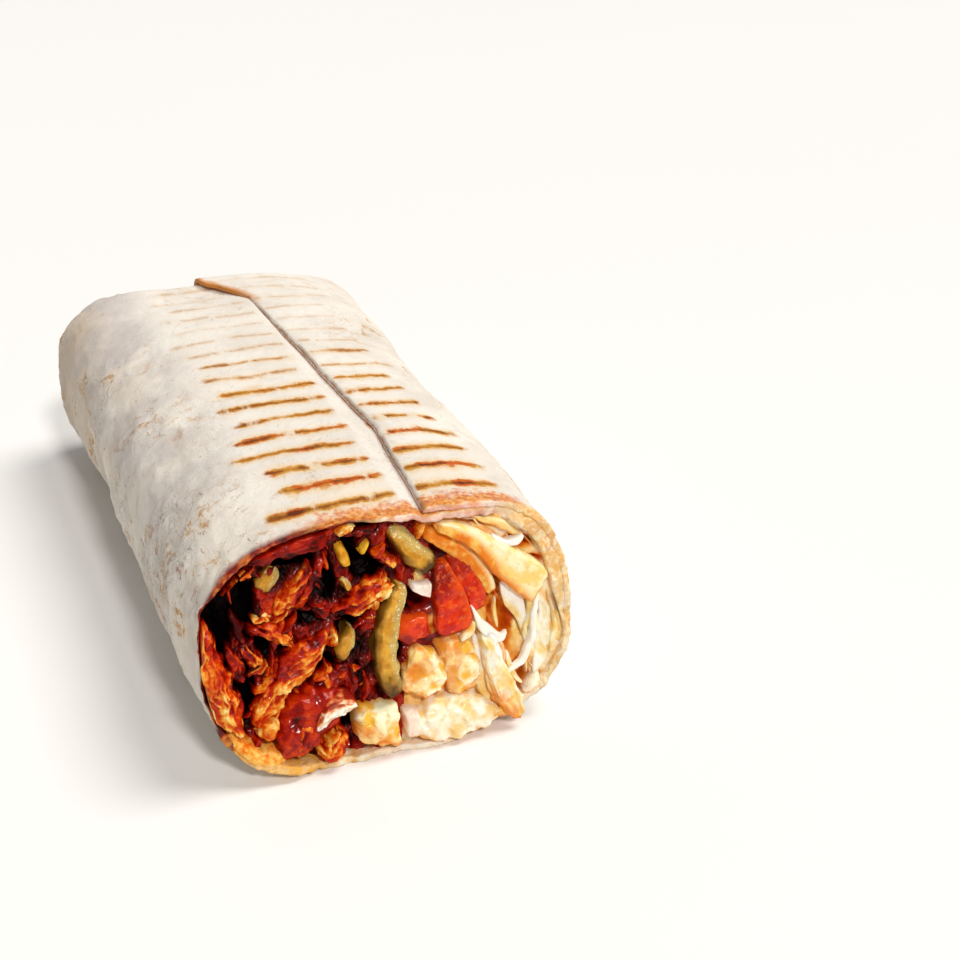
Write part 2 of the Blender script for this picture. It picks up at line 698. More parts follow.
# Lavender-grey crumpled places on the sides
crumpled = ease_node(noise_mask(place, 38.0, detail=3.0), 0.46, 0.62)
crumpled = crumpled * ease_node(z_mm, 44.4, 36.0)
wrinkle = noise_mask(stretched(place, (1.0, 1.0, 0.7)), 170.0, detail=6.0, roughness=0.62, distortion=1.2)
wrinkle = abs(wrinkle - 0.5)
in_folds = ease_node(wrinkle, 0.05, 0.0) * crumpled
colour = mix_colours(crumpled * 0.25, colour, srgb(214, 206, 204))
colour = mix_colours(in_folds * 0.16, colour, srgb(180, 164, 150))

shoulder = ease_node(x_mm, -14.0, -26.0) * ease_node(z_mm, 26.0, 36.0)
shoulder = shoulder * ease_node(y_mm, -60.0, -20.0)
shoulder = shoulder * ease_node(noise_mask(place, 50.0, detail=4.0), 0.38, 0.6)
colour = mix_colours(shoulder * 0.65, colour, srgb(196, 187, 184))

# Faint toasted blisters away from the ribs
blister = ease_node(noise_mask(place, 95.0, detail=3.0, distortion=0.3), 0.6, 0.7)
blister = blister * ease_node(z_mm, 42.0, 34.0)
colour = mix_colours(blister * 0.3, colour, srgb(208, 176, 132))

# Grill marks: distance to the nearest rib, in millimetres
waver = (noise_mask(place, 110.0) - 0.5) * 2.8
on_ribs = y_mm - FIRST_MARK_Y / MM + waver
rib = on_ribs / (MARK_PITCH / MM)
number = round(rib)
off = abs(rib - number)
off = off * (MARK_PITCH / MM)
grains = noise_mask(place, 1000.0, detail=4.0, roughness=0.65)
swell = noise_mask(place, 170.0, detail=2.0)
fuzz = (grains - 0.5) * 1.7 + (0.5 - swell) * 3.2
off = off + fuzz
right_of_seam = ease_node(turn, 0.5, 0.3)
off = off + right_of_seam * 0.15
chance = value_of(tree, "TexWhiteNoise", {"noise_dimensions": "1D"}, output="Color", W=number)
chances = [Value(part) for part in add_node(tree, "SeparateColor", Color=chance).outputs]
left_end = chances[0] * 6.0 + -21.0
right_end = chances[1] * 4.5 + 22.5
ragged_x = x_mm + noise_mask(place, 260.0) * 5.0
from_left = ragged_x - (left_end + 2.5)
from_right = right_end + 4.5 - ragged_x
span = ease_node(from_left, 0.0, 2.5) * ease_node(from_right, 0.0, 2.5)
seam_gap = times_plus(chances[1], 0.014, 0.003)
before_seam = abs(turn - 1.0)
before_seam = ease_node(before_seam - seam_gap, 0.0, 0.01)
span = span * (before_seam * ease_node(turn, 0.001, 0.006))
pressed = larger(ease_node(z_mm, 38.0, 41.0), ease_node(z_mm, 2.4, 0.9))
pressed = pressed * ease_node(inside, 0.5, 0.0)
fade = 0.14 + ease_node(y_mm, 40.0, -22.0) * 0.86
touch = ease_node(noise_mask(stretched(place, (1.0, 0.35, 1.0)), 210.0, detail=4.0), 0.34, 0.5)
per_mark = 0.6 + chances[2] * 0.5
strength = span * pressed * (fade * per_mark)
halo = ease_node(off, 3.6, 0.2) * strength
halo = halo * (0.55 + touch * 0.45)
line = ease_node(off, 1.7, 0.25) * (strength * touch)
line = math_node("MULTIPLY", line, 1.6, clamp=True)
core = ease_node(off, 0.7, -0.2) * line
burnt = ease_node(noise_mask(place, 120.0, detail=2.0), 0.46, 0.57)
burnt = burnt * (line * ease_node(y_mm, 10.0, -50.0))
wash = ease_node(y_mm, -40.0, -72.0) * (span * pressed)
wash = wash * ease_node(patches, 0.36, 0.6)
colour = mix_colours(wash * 0.4, colour, srgb(238, 204, 154))
colour = mix_colours(halo * 0.85, colour, srgb(236, 196, 130))
colour = mix_colours(line, colour, srgb(204, 140, 50))
colour = mix_colours(burnt * 0.85, colour, srgb(204, 84, 12))
colour = mix_colours(core * 0.9, colour, srgb(142, 78, 20))
char = core * times_plus(burnt, 0.7, 0.1)
colour = mix_colours(char, colour, srgb(88, 26, 6))

# The rim: soaked dark red over the chicken, pink by the seam, cream at the right, floury underneath
rim = ease_node(behind, 2.6, 0.4)
crumb = larger(rim, ease_node(inside, 0.15, 0.5))
soak = noise_mask(place, 420.0, detail=3.0)
over_chicken = ease_node(x_mm, 3.0, -8.0) * ease_node(z_mm, 3.5, 8.0)
crumb_colour = three_colours(soak, (0.34, 232, 174, 92), (0.5, 246, 220, 170), (0.62, 253, 243, 220))
red_crumb = three_colours(soak, (0.35, 84, 8, 2), (0.5, 150, 34, 8), (0.66, 220, 120, 48))
crumb_colour = mix_colours(over_chicken, crumb_colour, red_crumb)
pink_zone = ease_node(x_mm, -1.0, 4.0) * ease_node(x_mm, 27.0, 21.0)
pink_zone = pink_zone * ease_node(z_mm, 33.0, 37.0)
pink = three_colours(soak, (0.38, 230, 160, 138), (0.5, 236, 182, 166), (0.62, 246, 208, 192))
pink_zone = pink_zone * ease_node(inside, 0.1, 0.5)
crumb_colour = mix_colours(pink_zone * 0.85, crumb_colour, pink)
oily = ease_node(x_mm, -12.0, -18.0) * ease_node(z_mm, 11.0, 6.0)
oily = oily * ease_node(soak, 0.36, 0.56)
crumb_colour = mix_colours(oily, crumb_colour, srgb(238, 176, 74))
floury = ease_node(z_mm, 9.0, 4.0) * ease_node(x_mm, -12.0, -4.0)
crumb_colour = mix_colours(floury * 0.6, crumb_colour, srgb(253, 243, 226))
colour = mix_colours(crumb, colour, crumb_colour)
crust = times_plus(noise_mask(place, 900.0, detail=3.0), 0.5, soak * 0.5)
oiled_right = ease_node(x_mm, 22.0, 29.0) * ease_node(crust, 0.46, 0.56)
oiled_right = oiled_right * times_plus(ease_node(z_mm, 18.0, 30.0), 0.7, 0.3)
colour = mix_colours(oiled_right * crumb * 0.85, colour,
                     srgb(232, 168, 80))
stain_reach = behind + (soak - 0.5) * 8.0
stain_reach = stain_reach + (grains - 0.5) * 3.4
rim_stain = ease_node(stain_reach, 5.2, 2.2) * ease_node(z_mm, 39.5, 42.0)
rim_stain = rim_stain * ease_node(x_mm, -18.0, -8.0)
rim_stain = rim_stain * ease_node(inside, 0.3, 0.0)
stained = three_colours(grains, (0.36, 196, 78, 8), (0.5, 228, 128, 32), (0.64, 244, 186, 96))
colour = mix_colours(rim_stain * 0.85, colour, stained)

# The free edge is browned in places, and toasted where it lifts at the far end
browned = ease_node(noise_mask(place, 150.0, detail=3.0), 0.4, 0.6)
browned = ease_node(turn, 0.004, 0.0) * times_plus(browned, 0.5, 0.15)
colour = mix_colours(browned * ease_node(inside, 0.9, 0.3), colour, srgb(156, 114, 72))
far_edge = ease_node(turn, 0.012, 0.0) * ease_node(y_mm, 46.0, 62.0)
colour = mix_colours(far_edge, colour, srgb(214, 138, 62))
set_inputs(shader, Base_Color=colour)

roughness = 0.82 - crumb * 0.32
set_inputs(shader, Roughness=roughness)
grain = noise_mask(place, 1500.0, detail=2.0) * 0.05
dimple = noise_mask(place, 520.0, detail=3.0) * 0.16
pressed_in = halo * -0.16
height = grain + dimple + pressed_in
creased = ease_node(wrinkle, 0.0, 0.09) * 0.2
creased = creased * (0.25 + crumpled)
height = height + creased
height = height + crust * crumb * 0.7
set_inputs(shader, Normal=value_of(tree, "Bump", Strength=0.8, Distance=1 * MM, Height=height))

flatbread = make_flatbread(bread_look)
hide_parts("flatbread")

# %% [markdown]
# ## Pieces of the filling
# Every piece that the knife went through is a bar: it follows a path across the cut and runs back into the
# roll. It starts as a UV sphere whose poles are the two ends of the path. Moving the sphere's points to a
# rounded bar keeps it closed, and then relief is added at three scales: lumps, folds and fibres. Each point
# also stores where it is on the piece, which the materials use to colour skins, cut faces and hollows.

# %% Staying inside the bread
CLEARANCE = 0.6 * MM


def wall_depth(share, t, y):
    """Depth of the bread's inmost face, with a clearance: two layers on the right, one elsewhere."""
    turn = (share - SEAM_AT) % 1.0
    doubled = 1 - ease(TURNS - 0.06, TURNS + 0.01, turn + 1)
    outer = mix(layer_depth(turn, t), layer_depth(np.minimum(turn + 1, TURNS), t), doubled)
    x, z = section_point(share, *half_sizes(t), t)
    return outer + BREAD + CLEARANCE + relief(share, y, np.column_stack([x, y, z]))


def hold_inside(x, z, t, y, spare=0.0):
    """Pulls points in until they clear the bread's inmost face."""
    half_width, half_height = half_sizes(t)
    rise = z - half_height
    n = corner_power(np.arctan2(x, rise), t)
    depth = wall_depth(share_of(x, rise, t), t, y) + spare
    reach = np.abs(x / (half_width - depth)) ** n + np.abs(rise / (half_height - depth)) ** n
    pull = np.where(reach > 1, np.maximum(reach, 1e-9) ** (-1 / n), 1.0)
    return x * pull, half_height + rise * pull


# %% Following a path
def path_points(path, s):
    """Position, direction and width at shares s of a smooth line through (x, z, width) points, in mm."""
    points = np.array(path, float) * MM
    if len(points) == 2:
        points = np.insert(points, 1, points.mean(axis=0), axis=0)
    steps = np.hypot(*np.diff(points[:, :2], axis=0).T)
    at = np.concatenate([[0], np.cumsum(steps)]) / steps.sum()
    tangents = np.gradient(points, at, axis=0)
    i = np.clip(np.searchsorted(at, s, side="right") - 1, 0, len(at) - 2)
    span = at[i + 1] - at[i]
    u = (s - at[i]) / span
    basis = (2 * u**3 - 3 * u**2 + 1, u**3 - 2 * u**2 + u, -2 * u**3 + 3 * u**2, u**3 - u**2)
    terms = (points[i], tangents[i] * span[:, None], points[i + 1], tangents[i + 1] * span[:, None])
    here = sum(weight[:, None] * term for weight, term in zip(basis, terms))
    ahead = mix(tangents[i], tangents[i + 1], u[:, None])
    direction = ahead[:, :2] / np.hypot(ahead[:, 0], ahead[:, 1])[:, None]
    return here[:, :2], direction, here[:, 2], steps.sum()


# %% Hollows and stains of the cut
HOLLOWS = (
    # x, z, half width, half height and depth in mm
    (-17, 38.8, 4.6, 1.5, 8), (-27, 32, 1.9, 5, 8), (-31.8, 31, 2.6, 5, 6), (-32, 23.4, 1.3, 3.6, 8),
    (-24.4, 23, 1.3, 2.2, 8), (-28.4, 15.8, 1.5, 4.2, 8), (-17.4, 17.9, 4.8, 1.6, 8), (-7.8, 24.4, 2, 1.4, 8),
    (-6.1, 38.4, 0.9, 2.2, 7), (-3, 34.6, 2.6, 2.2, 8), (-10.8, 33, 1.2, 3, 7), (-15.4, 26.8, 2.4, 1, 6),
    (-10.6, 7.4, 2.2, 1.6, 6), (5.4, 26.4, 2.6, 1.5, 7), (0.9, 19.5, 0.8, 3, 6), (21.6, 18.5, 1.8, 4.6, 3.2),
    (25, 8, 1.6, 2.8, 3.2), (9.2, 13, 0.9, 3, 3), (16, 9, 0.9, 3, 2.6), (13.4, 35.4, 3, 1, 4),
    (21.6, 27.4, 1.3, 2.6, 4), (27, 33, 3, 1, 2.6), (29, 29.6, 2.6, 0.8, 2.6), (29, 26.4, 1, 2, 2),
)
# x, z, half width and half height in mm
CREAM_ZONES = ((9, 4, 9, 4), (14.6, 9, 2.6, 6), (30, 16, 3.6, 9), (33, 27, 3, 8), (28, 37, 5, 3))
DARK_ZONES = ((-30.5, 33, 5, 8), (-16, 38, 7, 2), (-12, 32, 4, 4), (-7, 18, 2.4, 6), (-3, 36, 4, 4))
RED_ZONES = ((5, 26, 5, 5), (6, 37, 3.4, 5), (10, 33, 4, 6), (15, 27, 6, 7), (3, 20, 6, 5), (9, 18, 4, 2))
ORANGE_ZONES = (
    (25, 8, 3, 3.4), (22, 19, 3, 6), (27, 35, 5, 3), (13, 37, 6, 3), (19, 27, 3, 4), (21, 31, 4, 3),
    (-4, 2, 8, 2), (6, 20, 4, 3), (8.5, 14, 2, 4), (15, 9, 3, 3), (28, 28, 3, 3), (20, 3, 4, 3),
    (31, 30, 3, 3),
)


def spots(x, z, places):
    """Soft oval spots, the strongest one at each point, 0..1."""
    best = np.zeros(len(x))
    for cx, cz, rx, rz, *_ in places:
        off = ((x / MM - cx) / rx) ** 2 + ((z / MM - cz) / rz) ** 2
        best = np.maximum(best, np.exp(-off))
    return best


def darkening(x, z, inset):
    """How much darker the filling is here, from the hollows around and from zones with more marinade."""
    return 0.5 * spots(x, z, HOLLOWS) * ease(0.8 * MM, 3.4 * MM, inset) + 0.2 * spots(x, z, DARK_ZONES)


# %% Bars
FINE = 1.0
ABOVE_FLOOR = 0.1 * MM


def add_bar(
    bm, path, front, back, around=10, along=7, square=2.6, blunt=3.0, rough=0.5, seed=0,
    fold=0.3, fibre=0.12, grain=0.07, tone=0.5, skin=0.0, end=0.0, waver=0.0, fineness=1.0, spare=0.1,
):
    """One bar of filling in this bmesh. rough, fold, fibre and grain are heights of its relief in mm.

    skin adds to the tone on the bar's left side, and end adds to it towards the end of the path.
    """
    ring_count = int(max(around * 5, 44) * FINE * fineness)
    path_count = int(max(along * 4.6, 26) * FINE * fineness)
    bar = new_mesh()
    verts = bmesh.ops.create_uvsphere(bar, u_segments=ring_count, v_segments=path_count, radius=1)["verts"]
    ball = np.array([vert.co for vert in verts])
    q = np.arcsin(np.clip(ball[:, 2], -1, 1)) / (math.pi / 2)
    from_front = np.arctan2(ball[:, 1], ball[:, 0]) + math.pi / 2
    from_front = (from_front + math.pi) % (2 * math.pi) - math.pi
    angle = from_front - 0.55 * np.sin(from_front) - math.pi / 2
    ring = np.maximum(1 - np.abs(q) ** blunt, 0) ** (1 / blunt)
    s = (q + 1) / 2
    centre, direction, width, length = path_points(path, s)
    beat = np.column_stack([s * length / (2.6 * MM), np.zeros(len(s)), np.full(len(s), seed * 5.7)])
    width = width * (1 + waver * noise_at(beat, 1.0))
    side = signed_power(np.cos(angle), 2 / square)
    across = side * ring * width / 2 + noise_at(beat, 1.0, (0, 9, 0)) * waver * 1.2 * MM
    deep = signed_power(np.sin(angle), 2 / square) * (0.35 + 0.65 * ring) * np.clip(ring * 9, 0, 1)
    x = centre[:, 0] - direction[:, 1] * across
    z = centre[:, 1] + direction[:, 0] * across
    inset = mix(front, back, (deep + 1) / 2) * MM
    points = np.column_stack([x, inset, z])
    lump = noise_vectors_at(points, 4.5 * MM, (seed * 7.3, seed, 0))
    lump *= (rough * MM * np.clip(width / (3.5 * MM), 0, 1))[:, None]
    folds = noise_vectors_at(points, 1.7 * MM, (seed * 3.1, 0, seed)) * fold * MM
    grains = noise_vectors_at(points, 0.65 * MM, (seed, 0, 3)) * grain * MM
    strands = np.column_stack([s * length / (3.4 * MM), across / (0.95 * MM), inset / (3 * MM)])
    ridges = 1 - np.abs(noise_at(strands, 1.0, (seed, 2, 0))) * 4
    fine_ridges = 1 - np.abs(noise_at(strands, 0.42, (seed, 5, 1))) * 4
    torn = ease(-0.3, 0.2, noise_at(points, 4.5 * MM, (seed, 8, 0)))
    fibres = (ridges + 0.45 * fine_ridges) * fibre * MM * mix(0.3, 1.0, torn)
    moved = points + lump + folds + grains
    inset = moved[:, 1]
    before_knife = np.minimum(inset - front * MM, 0.0)
    inset = inset - 0.8 * before_knife - fibres * np.clip(-deep + 0.3, 0, 1)
    x, z = moved[:, 0], moved[:, 2]
    y = cut_y(z) + inset
    held_x, held_z = hold_inside(x, z, along_body(y, z), y, spare=spare * MM)
    behind_plane = ease(-1.6 * MM, 0.3 * MM, inset)
    x, z = mix(x, held_x, behind_plane), mix(z, held_z, behind_plane)
    y = cut_y(z) + inset
    height = (folds[:, 1] * -0.6 + fibres * 1.1 + grains[:, 1] * -0.6) / MM
    height = height - 0.22 * (1 - torn) * (fibre > 0.2)
    tones = tone + skin * side + end * (2 * s - 1) + darkening(x, z, inset)
    places = np.column_stack([x, y, np.maximum(z, ABOVE_FLOOR)])
    place_verts(bar, verts, places, along=s, side=side, depth=inset / MM, height=height, tone=tones)
    bar_mesh = bpy.data.meshes.new("bar")
    bar.to_mesh(bar_mesh)
    bar.free()
    bm.from_mesh(bar_mesh)
    bpy.data.meshes.remove(bar_mesh)


# %% [markdown]
# ### Packed core
# Behind the loose pieces the filling is a solid mass. It only shows as the dark bottom of the hollows, so it
# is one lumpy plug for the chicken side and one for the salad side, split by the slanting plane between
# them. A sphere cut with `bisect_plane` gives each half a clean flat face.

# %% Core
CORE_BEHIND_CUT = 10.5 * MM
CORE_FAR_Y = 73 * MM
CORE_SPARE = 1.1 * MM
CORE_TONE, CORE_DEPTH = 0.95, 12.0
DIVIDE_X = -1 * MM
DIVIDE_SLOPE = 0.22
PLANE_TOLERANCE = 0.002 * MM


def keep_side(bm, side, gap=0.0):
    """Cuts a closed mesh along the plane between chicken and salad, and keeps and closes one side of it."""
    across = Vector((side, 0, -side * DIVIDE_SLOPE)).normalized()
    bmesh.ops.bisect_plane(
        bm, geom=bm.verts[:] + bm.edges[:] + bm.faces[:], dist=PLANE_TOLERANCE,
        plane_co=Vector((DIVIDE_X, 0, 0)) + across * gap, plane_no=across, clear_inner=True,
    )
    bmesh.ops.holes_fill(bm, edges=[edge for edge in bm.edges if edge.is_boundary])
    bmesh.ops.triangulate(bm, faces=[face for face in bm.faces if len(face.verts) > 4])


def make_core(name, side, look, around=96, along=60):
    bm = new_mesh()
    bmesh.ops.create_uvsphere(bm, u_segments=around, v_segments=along, radius=1)
    verts = bm.verts[:]
    ball = np.array([vert.co for vert in verts])
    q = np.arcsin(np.clip(ball[:, 2], -1, 1)) / (math.pi / 2)
    share = np.arctan2(ball[:, 0], ball[:, 1]) / (2 * math.pi)
    face = np.clip((1 - np.abs(q)) / 0.24, 0, 1) ** 0.8
    t = np.clip((q / 0.76 + 1) / 2, 0, 1)
    half_width, half_height = half_sizes(t)
    x, z = section_point(share, half_width, half_height, t)
    y = mix(cut_y(half_height + z) + CORE_BEHIND_CUT, CORE_FAR_Y, t)
    x, z = hold_inside(x, half_height + z, along_body(y, half_height + z), y, CORE_SPARE)
    x, z = x * face, half_height + (z - half_height) * face
    y = mix(cut_y(z) + CORE_BEHIND_CUT, CORE_FAR_Y, t)
    points = np.column_stack([x, y, z])
    lumps = noise_vectors_at(points, 3.2 * MM, (4, side, 0)) * 0.9 * MM
    lumps = lumps + noise_vectors_at(points, 1.2 * MM) * 0.3 * MM
    points = points + lumps * np.array((0.3, 1, 0.3))
    same = np.ones(len(points))
    place_verts(bm, verts, points, tone=same * CORE_TONE, depth=same * CORE_DEPTH)
    keep_side(bm, side, CLEARANCE / 2)
    return finish_mesh(name, bm, look)


# %% Places of the loose pieces
LOOSE_PIECE_BACK = 8.5
LOOSE_PIECES = {
    "pickle_strip_long": dict(
        path=[(3.0, 30.6, 3.2), (0.4, 26.4, 4.2), (-1.7, 21, 4.6), (-2.1, 15.5, 4.6), (-0.7, 10.6, 3.8)],
        front=-1.1, around=12, along=12, square=5, blunt=5, rough=0.5, seed=3, look="pickle",
    ),
    "pickle_strip_top": dict(
        path=[(2.2, 40.4, 3), (5.2, 36.4, 4.4), (9, 32.2, 4.4)],
        front=-0.4, square=4, blunt=6, rough=0.25, seed=4, look="pickle",
    ),
    "pickle_slice_left": dict(
        path=[(-20.4, 37.4, 2.6), (-21.8, 34.8, 4.2), (-23.4, 32.6, 3.2)],
        front=2, square=3, blunt=4, rough=0.2, seed=5, look="pickle",
    ),
    "pickle_wedge": dict(
        path=[(-7.2, 23.4, 2), (-9, 20.8, 4), (-10.4, 18, 2)], front=1, seed=6, rough=0.2, look="pickle"
    ),
    "pickle_bit": dict(
        path=[(-8.4, 33, 1.8), (-7.6, 31.8, 2.2), (-6.6, 30.6, 1.6)],
        front=1, along=6, seed=19, rough=0.15, look="pickle",
    ),
    "pepper_strip": dict(
        path=[(-8.0, 39.2, 1.8), (-7.5, 37.2, 2.3), (-6.8, 35, 2)],
        front=0.8, square=3, blunt=5, rough=0.15, seed=7, look="pepper",
    ),
    "pepper_sliver": dict(
        path=[(-4, 36.6, 1.1), (-3.2, 37.6, 1.5), (-2.2, 38.8, 1.1)],
        front=1, along=6, square=3, blunt=4, rough=0.1, seed=21, look="pepper",
    ),
    "tomato_wedge_front": dict(
        path=[(10.8, 33, 3), (11.8, 26.6, 6.2), (12.3, 20, 7.4)],
        front=-0.8, around=14, along=12, square=8, blunt=12, rough=0.2, seed=8, look="tomato",
    ),
    "tomato_wedge_back": dict(
        path=[(12.8, 34, 3), (16.2, 29, 5.8), (17.9, 22.4, 3.6)],
        front=0.5, around=12, square=5, blunt=6, rough=0.2, seed=9, look="tomato",
    ),
    "tomato_piece_low": dict(
        path=[(2, 19.2, 4), (3.6, 21.4, 5.4), (7.4, 21.6, 4.4)],
        front=0.4, square=4, blunt=4, rough=0.8, seed=10, look="tomato",
    ),
    "fry_front": dict(
        path=[(10.6, 40.2, 2.2), (16.6, 37.3, 3.4), (22.8, 31.6, 5.8), (30.2, 25.2, 8)],
        front=-1.4, around=12, along=12, square=7, blunt=12, rough=0.15, seed=11, look="fry",
    ),
    "fry_back": dict(
        path=[(8.4, 38.6, 2.2), (13.6, 35.4, 3.6), (18.2, 30.8, 3.6), (20.8, 25.4, 2.4)],
        front=0.3, around=12, along=10, square=5, blunt=8, rough=0.1, seed=12, tone=1.0, look="fry",
    ),
    "onion_bit": dict(
        path=[(4.5, 29.8, 1), (6.4, 29, 2), (8.2, 28.6, 2.8)],
        front=-0.6, back=8, along=6, square=9, blunt=14, rough=0.1, seed=14, look="onion",
    ),
    "turnip_cube": dict(
        path=[(-0.2, 5.4, 4.4), (1.1, 5.4, 4.6), (2.6, 5.2, 4.4)],
        front=-2.2, back=8, along=6, square=7, blunt=8, rough=0.1, seed=13, look="turnip",
    ),
    "potato_chunk_left": dict(
        path=[(-9.2, 6.6, 4.4), (-5.4, 6, 7.8), (-1.2, 5.4, 6.8)],
        front=-2.2, around=12, along=9, square=4.4, blunt=7, rough=0.5, seed=15, look="potato",
    ),
    "potato_chunk_mid": dict(
        path=[(4.8, 18, 5), (5.2, 14, 8.4), (5.6, 9, 7.2)],
        front=-1.2, around=12, along=9, square=4, blunt=5, rough=0.8, seed=16, look="potato",
    ),
    "potato_chunk_right": dict(
        path=[(11.6, 19, 6.6), (12.4, 14, 8.2), (13, 8.4, 7)],
        front=-1, around=12, along=9, square=4, blunt=5, rough=0.8, seed=17, look="potato",
    ),
    "garlic_sauce": dict(
        path=[(1.8, 4, 6), (8.6, 4.6, 8.4), (15, 4.2, 7), (19.2, 4, 4.4)],
        front=-2.3, around=14, along=13, square=3, blunt=4, rough=0.5, seed=18, look="sauce", spare=-0.9,
    ),
}

# %% [markdown]
# ### Bed of the filling
# Between the pieces that stand out lies a bed of torn crumbs and sauce, with deep hollows where pieces have
# pulled apart. It is a flat grid, rounded to the roll's section, whose points are pushed back into the roll
# by a height map of noise and hand-placed hollows. Its border is extruded back into the core, and the same
# slanting plane parts it into a chicken side and a salad side.

# %% Bed
BED_COLUMNS, BED_ROWS = ((280, 170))
BED_BACK = 12.5 * MM
BED_SPARE = -0.9 * MM
BED_HALF_WIDTH, BED_HALF_HEIGHT = 40 * MM, 26 * MM


def bed_inset(x, z, chicken):
    """How far the bed lies behind the knife's plane."""
    points = np.column_stack([x, z, np.zeros(len(x))])
    diagonal = np.column_stack([(x * 0.55 + z * 0.83) / 2.4, (x * 0.83 - z * 0.55), np.zeros(len(x))])
    shreds = mix(points, diagonal, chicken[:, None])
    inset = mix(2.2, 2.8, chicken) + mix(0.6, 1.4, chicken) * noise_at(shreds, 2.2 * MM, (1, 0, 0))
    inset = inset + mix(0.5, 0.8, chicken) * noise_at(points, 3.6 * MM, (0, 4, 0))
    ridges = 1 - np.abs(noise_at(shreds, 1.2 * MM, (0, 0, 7))) * 4
    inset = inset - 0.65 * np.maximum(ridges, 0) * mix(0.2, 1.0, chicken)
    inset = inset + mix(0.08, 0.35, chicken) * noise_at(points, 0.6 * MM, (3, 0, 2))
    veils = np.column_stack([(x + 0.3 * z) / (2.3 * MM), z / (11 * MM), np.zeros(len(x))])
    right = ease(14 * MM, 20 * MM, x) * ease(33 * MM, 27 * MM, z)
    inset = inset + right * (1.3 * noise_at(veils, 1.0, (0, 0, 4)) + 0.5 * noise_at(veils, 0.45, (0, 0, 6)))
    for cx, cz, rx, rz, deep in HOLLOWS:
        off = ((x / MM - cx) / rx) ** 2 + ((z / MM - cz) / rz) ** 2
        inset = inset + deep * np.exp(-(off**1.5))
    inset = inset - 1.5 * spots(x, z, CREAM_ZONES)
    return np.clip(inset, 0.6, 10.4) * MM


def make_bed(name, side, look):
    bm = new_mesh()
    bmesh.ops.create_grid(bm, x_segments=BED_COLUMNS, y_segments=BED_ROWS, size=1)
    verts = bm.verts[:]
    flat = np.array([vert.co for vert in verts])[:, :2]
    angle = np.arctan2(flat[:, 0], flat[:, 1])
    n = corner_power(angle, np.zeros(len(flat)))
    norm = np.maximum((np.abs(flat) ** n[:, None]).sum(axis=1) ** (1 / n), 1e-9)
    flat *= (np.abs(flat).max(axis=1) / norm)[:, None]
    x, z = flat[:, 0] * HALF_WIDTH[0] * 0.999, HALF_HEIGHT[0] * (1 + flat[:, 1] * 0.999)
    y = cut_y(z) + 4 * MM
    rim = np.abs(flat[:, 0]) ** n + np.abs(flat[:, 1]) ** n
    wide, high = flat[:, 0] * BED_HALF_WIDTH, HALF_HEIGHT[0] + flat[:, 1] * BED_HALF_HEIGHT
    wide, high = hold_inside(wide, high, along_body(y, z), y, BED_SPARE)
    scale = np.clip(rim, 0, 1) ** 2
    x, z = mix(x, wide, scale), mix(z, high, scale)
    x, z = hold_inside(x, z, along_body(y, z), y, BED_SPARE)
    chicken = ease(1.5, -1.5, (x - DIVIDE_X) / MM - DIVIDE_SLOPE * z / MM)
    inset = bed_inset(x, z, chicken)
    values = {
        "depth": inset / MM,
        "tone": mix(spots(x, z, CREAM_ZONES), 0.6 + darkening(x, z, inset), 1.0 if side < 0 else 0.0),
        "height": np.clip((2.8 - inset / MM) * 0.22, -0.6, 0.4),
        "side": spots(x, z, RED_ZONES),
        "along": spots(x, z, ORANGE_ZONES) - 0.5 * spots(x, z, CREAM_ZONES),
    }
    place_verts(bm, verts, np.column_stack([x, cut_y(z) + inset, z]), **values)
    border = [edge for edge in bm.edges if edge.is_boundary]
    back = bmesh.ops.extrude_edge_only(bm, edges=border)["geom"]
    for item in back:
        if isinstance(item, bmesh.types.BMVert):
            item.co.y = cut_y(item.co.z) + BED_BACK
    edges = [item for item in back if isinstance(item, bmesh.types.BMEdge)]
    bmesh.ops.holes_fill(bm, edges=[edge for edge in edges if edge.is_boundary])
    keep_side(bm, side)
    return finish_mesh(name, bm, look)


# %% [markdown]
# ## Chicken
# Shaved chicken has a burnt red marinade on its outside and orange to pale flesh inside, and it tears in
# fibres. The tone of each strip says how much marinade is on it. Recesses hold more of it than ridges do,
# so the colour is driven by the relief that the strip stores, and looks right wherever it is lit.

# %% Chicken material
chicken_look, tree, shader = new_material(
    "chicken_marinade", 0.3, Subsurface_Weight=0.04, Specular_IOR_Level=0.08, Coat_Roughness=0.045
)
set_inputs(shader, Subsurface_Radius=(1.0, 0.35, 0.15), Subsurface_Scale=1.2 * MM)
place = object_place(tree)
tone, depth, height = (attribute(tree, name) for name in ("tone", "depth", "height"))
patches = noise_mask(place, 420.0, detail=4.0, roughness=0.65)
crumbs = noise_mask(place, 1250.0, detail=3.0, roughness=0.6)
uneven = (patches - 0.5) * 0.55
uneven = uneven + (crumbs - 0.5) * 0.5
calm = 1.0 - ease_node(tone, 0.44, 0.64) * 0.6
uneven = uneven * calm
uneven = uneven - height * 0.55
uneven = times_plus(attribute(tree, "facing_up"), -0.07, uneven)
level = tone + 0.08 + math_node("MINIMUM", uneven, 0.22)
level = math_node("ADD", level, ease_node(depth, 1.5, 7.0) * 0.6, clamp=True)
colour = colour_steps(level,
    (0.00, srgb(255, 226, 152)), (0.14, srgb(248, 186, 84)), (0.29, srgb(232, 122, 24)),
    (0.44, srgb(204, 54, 3)), (0.60, srgb(160, 16, 0)), (0.78, srgb(78, 3, 0)), (1.00, srgb(8, 0, 0)),
)
set_inputs(shader, Base_Color=colour)
wet(shader, Size=1000.0, Depth=0.2, Fine_Depth=0.07)
in_hollows = ease_node(depth, 3.0, 6.5)
gloss = 0.5 - level * 0.2
gloss = gloss + in_hollows * 0.5
set_inputs(shader, Roughness=gloss)
wetness = (1.0 - in_hollows) * ease_node(level, 0.95, 0.6)
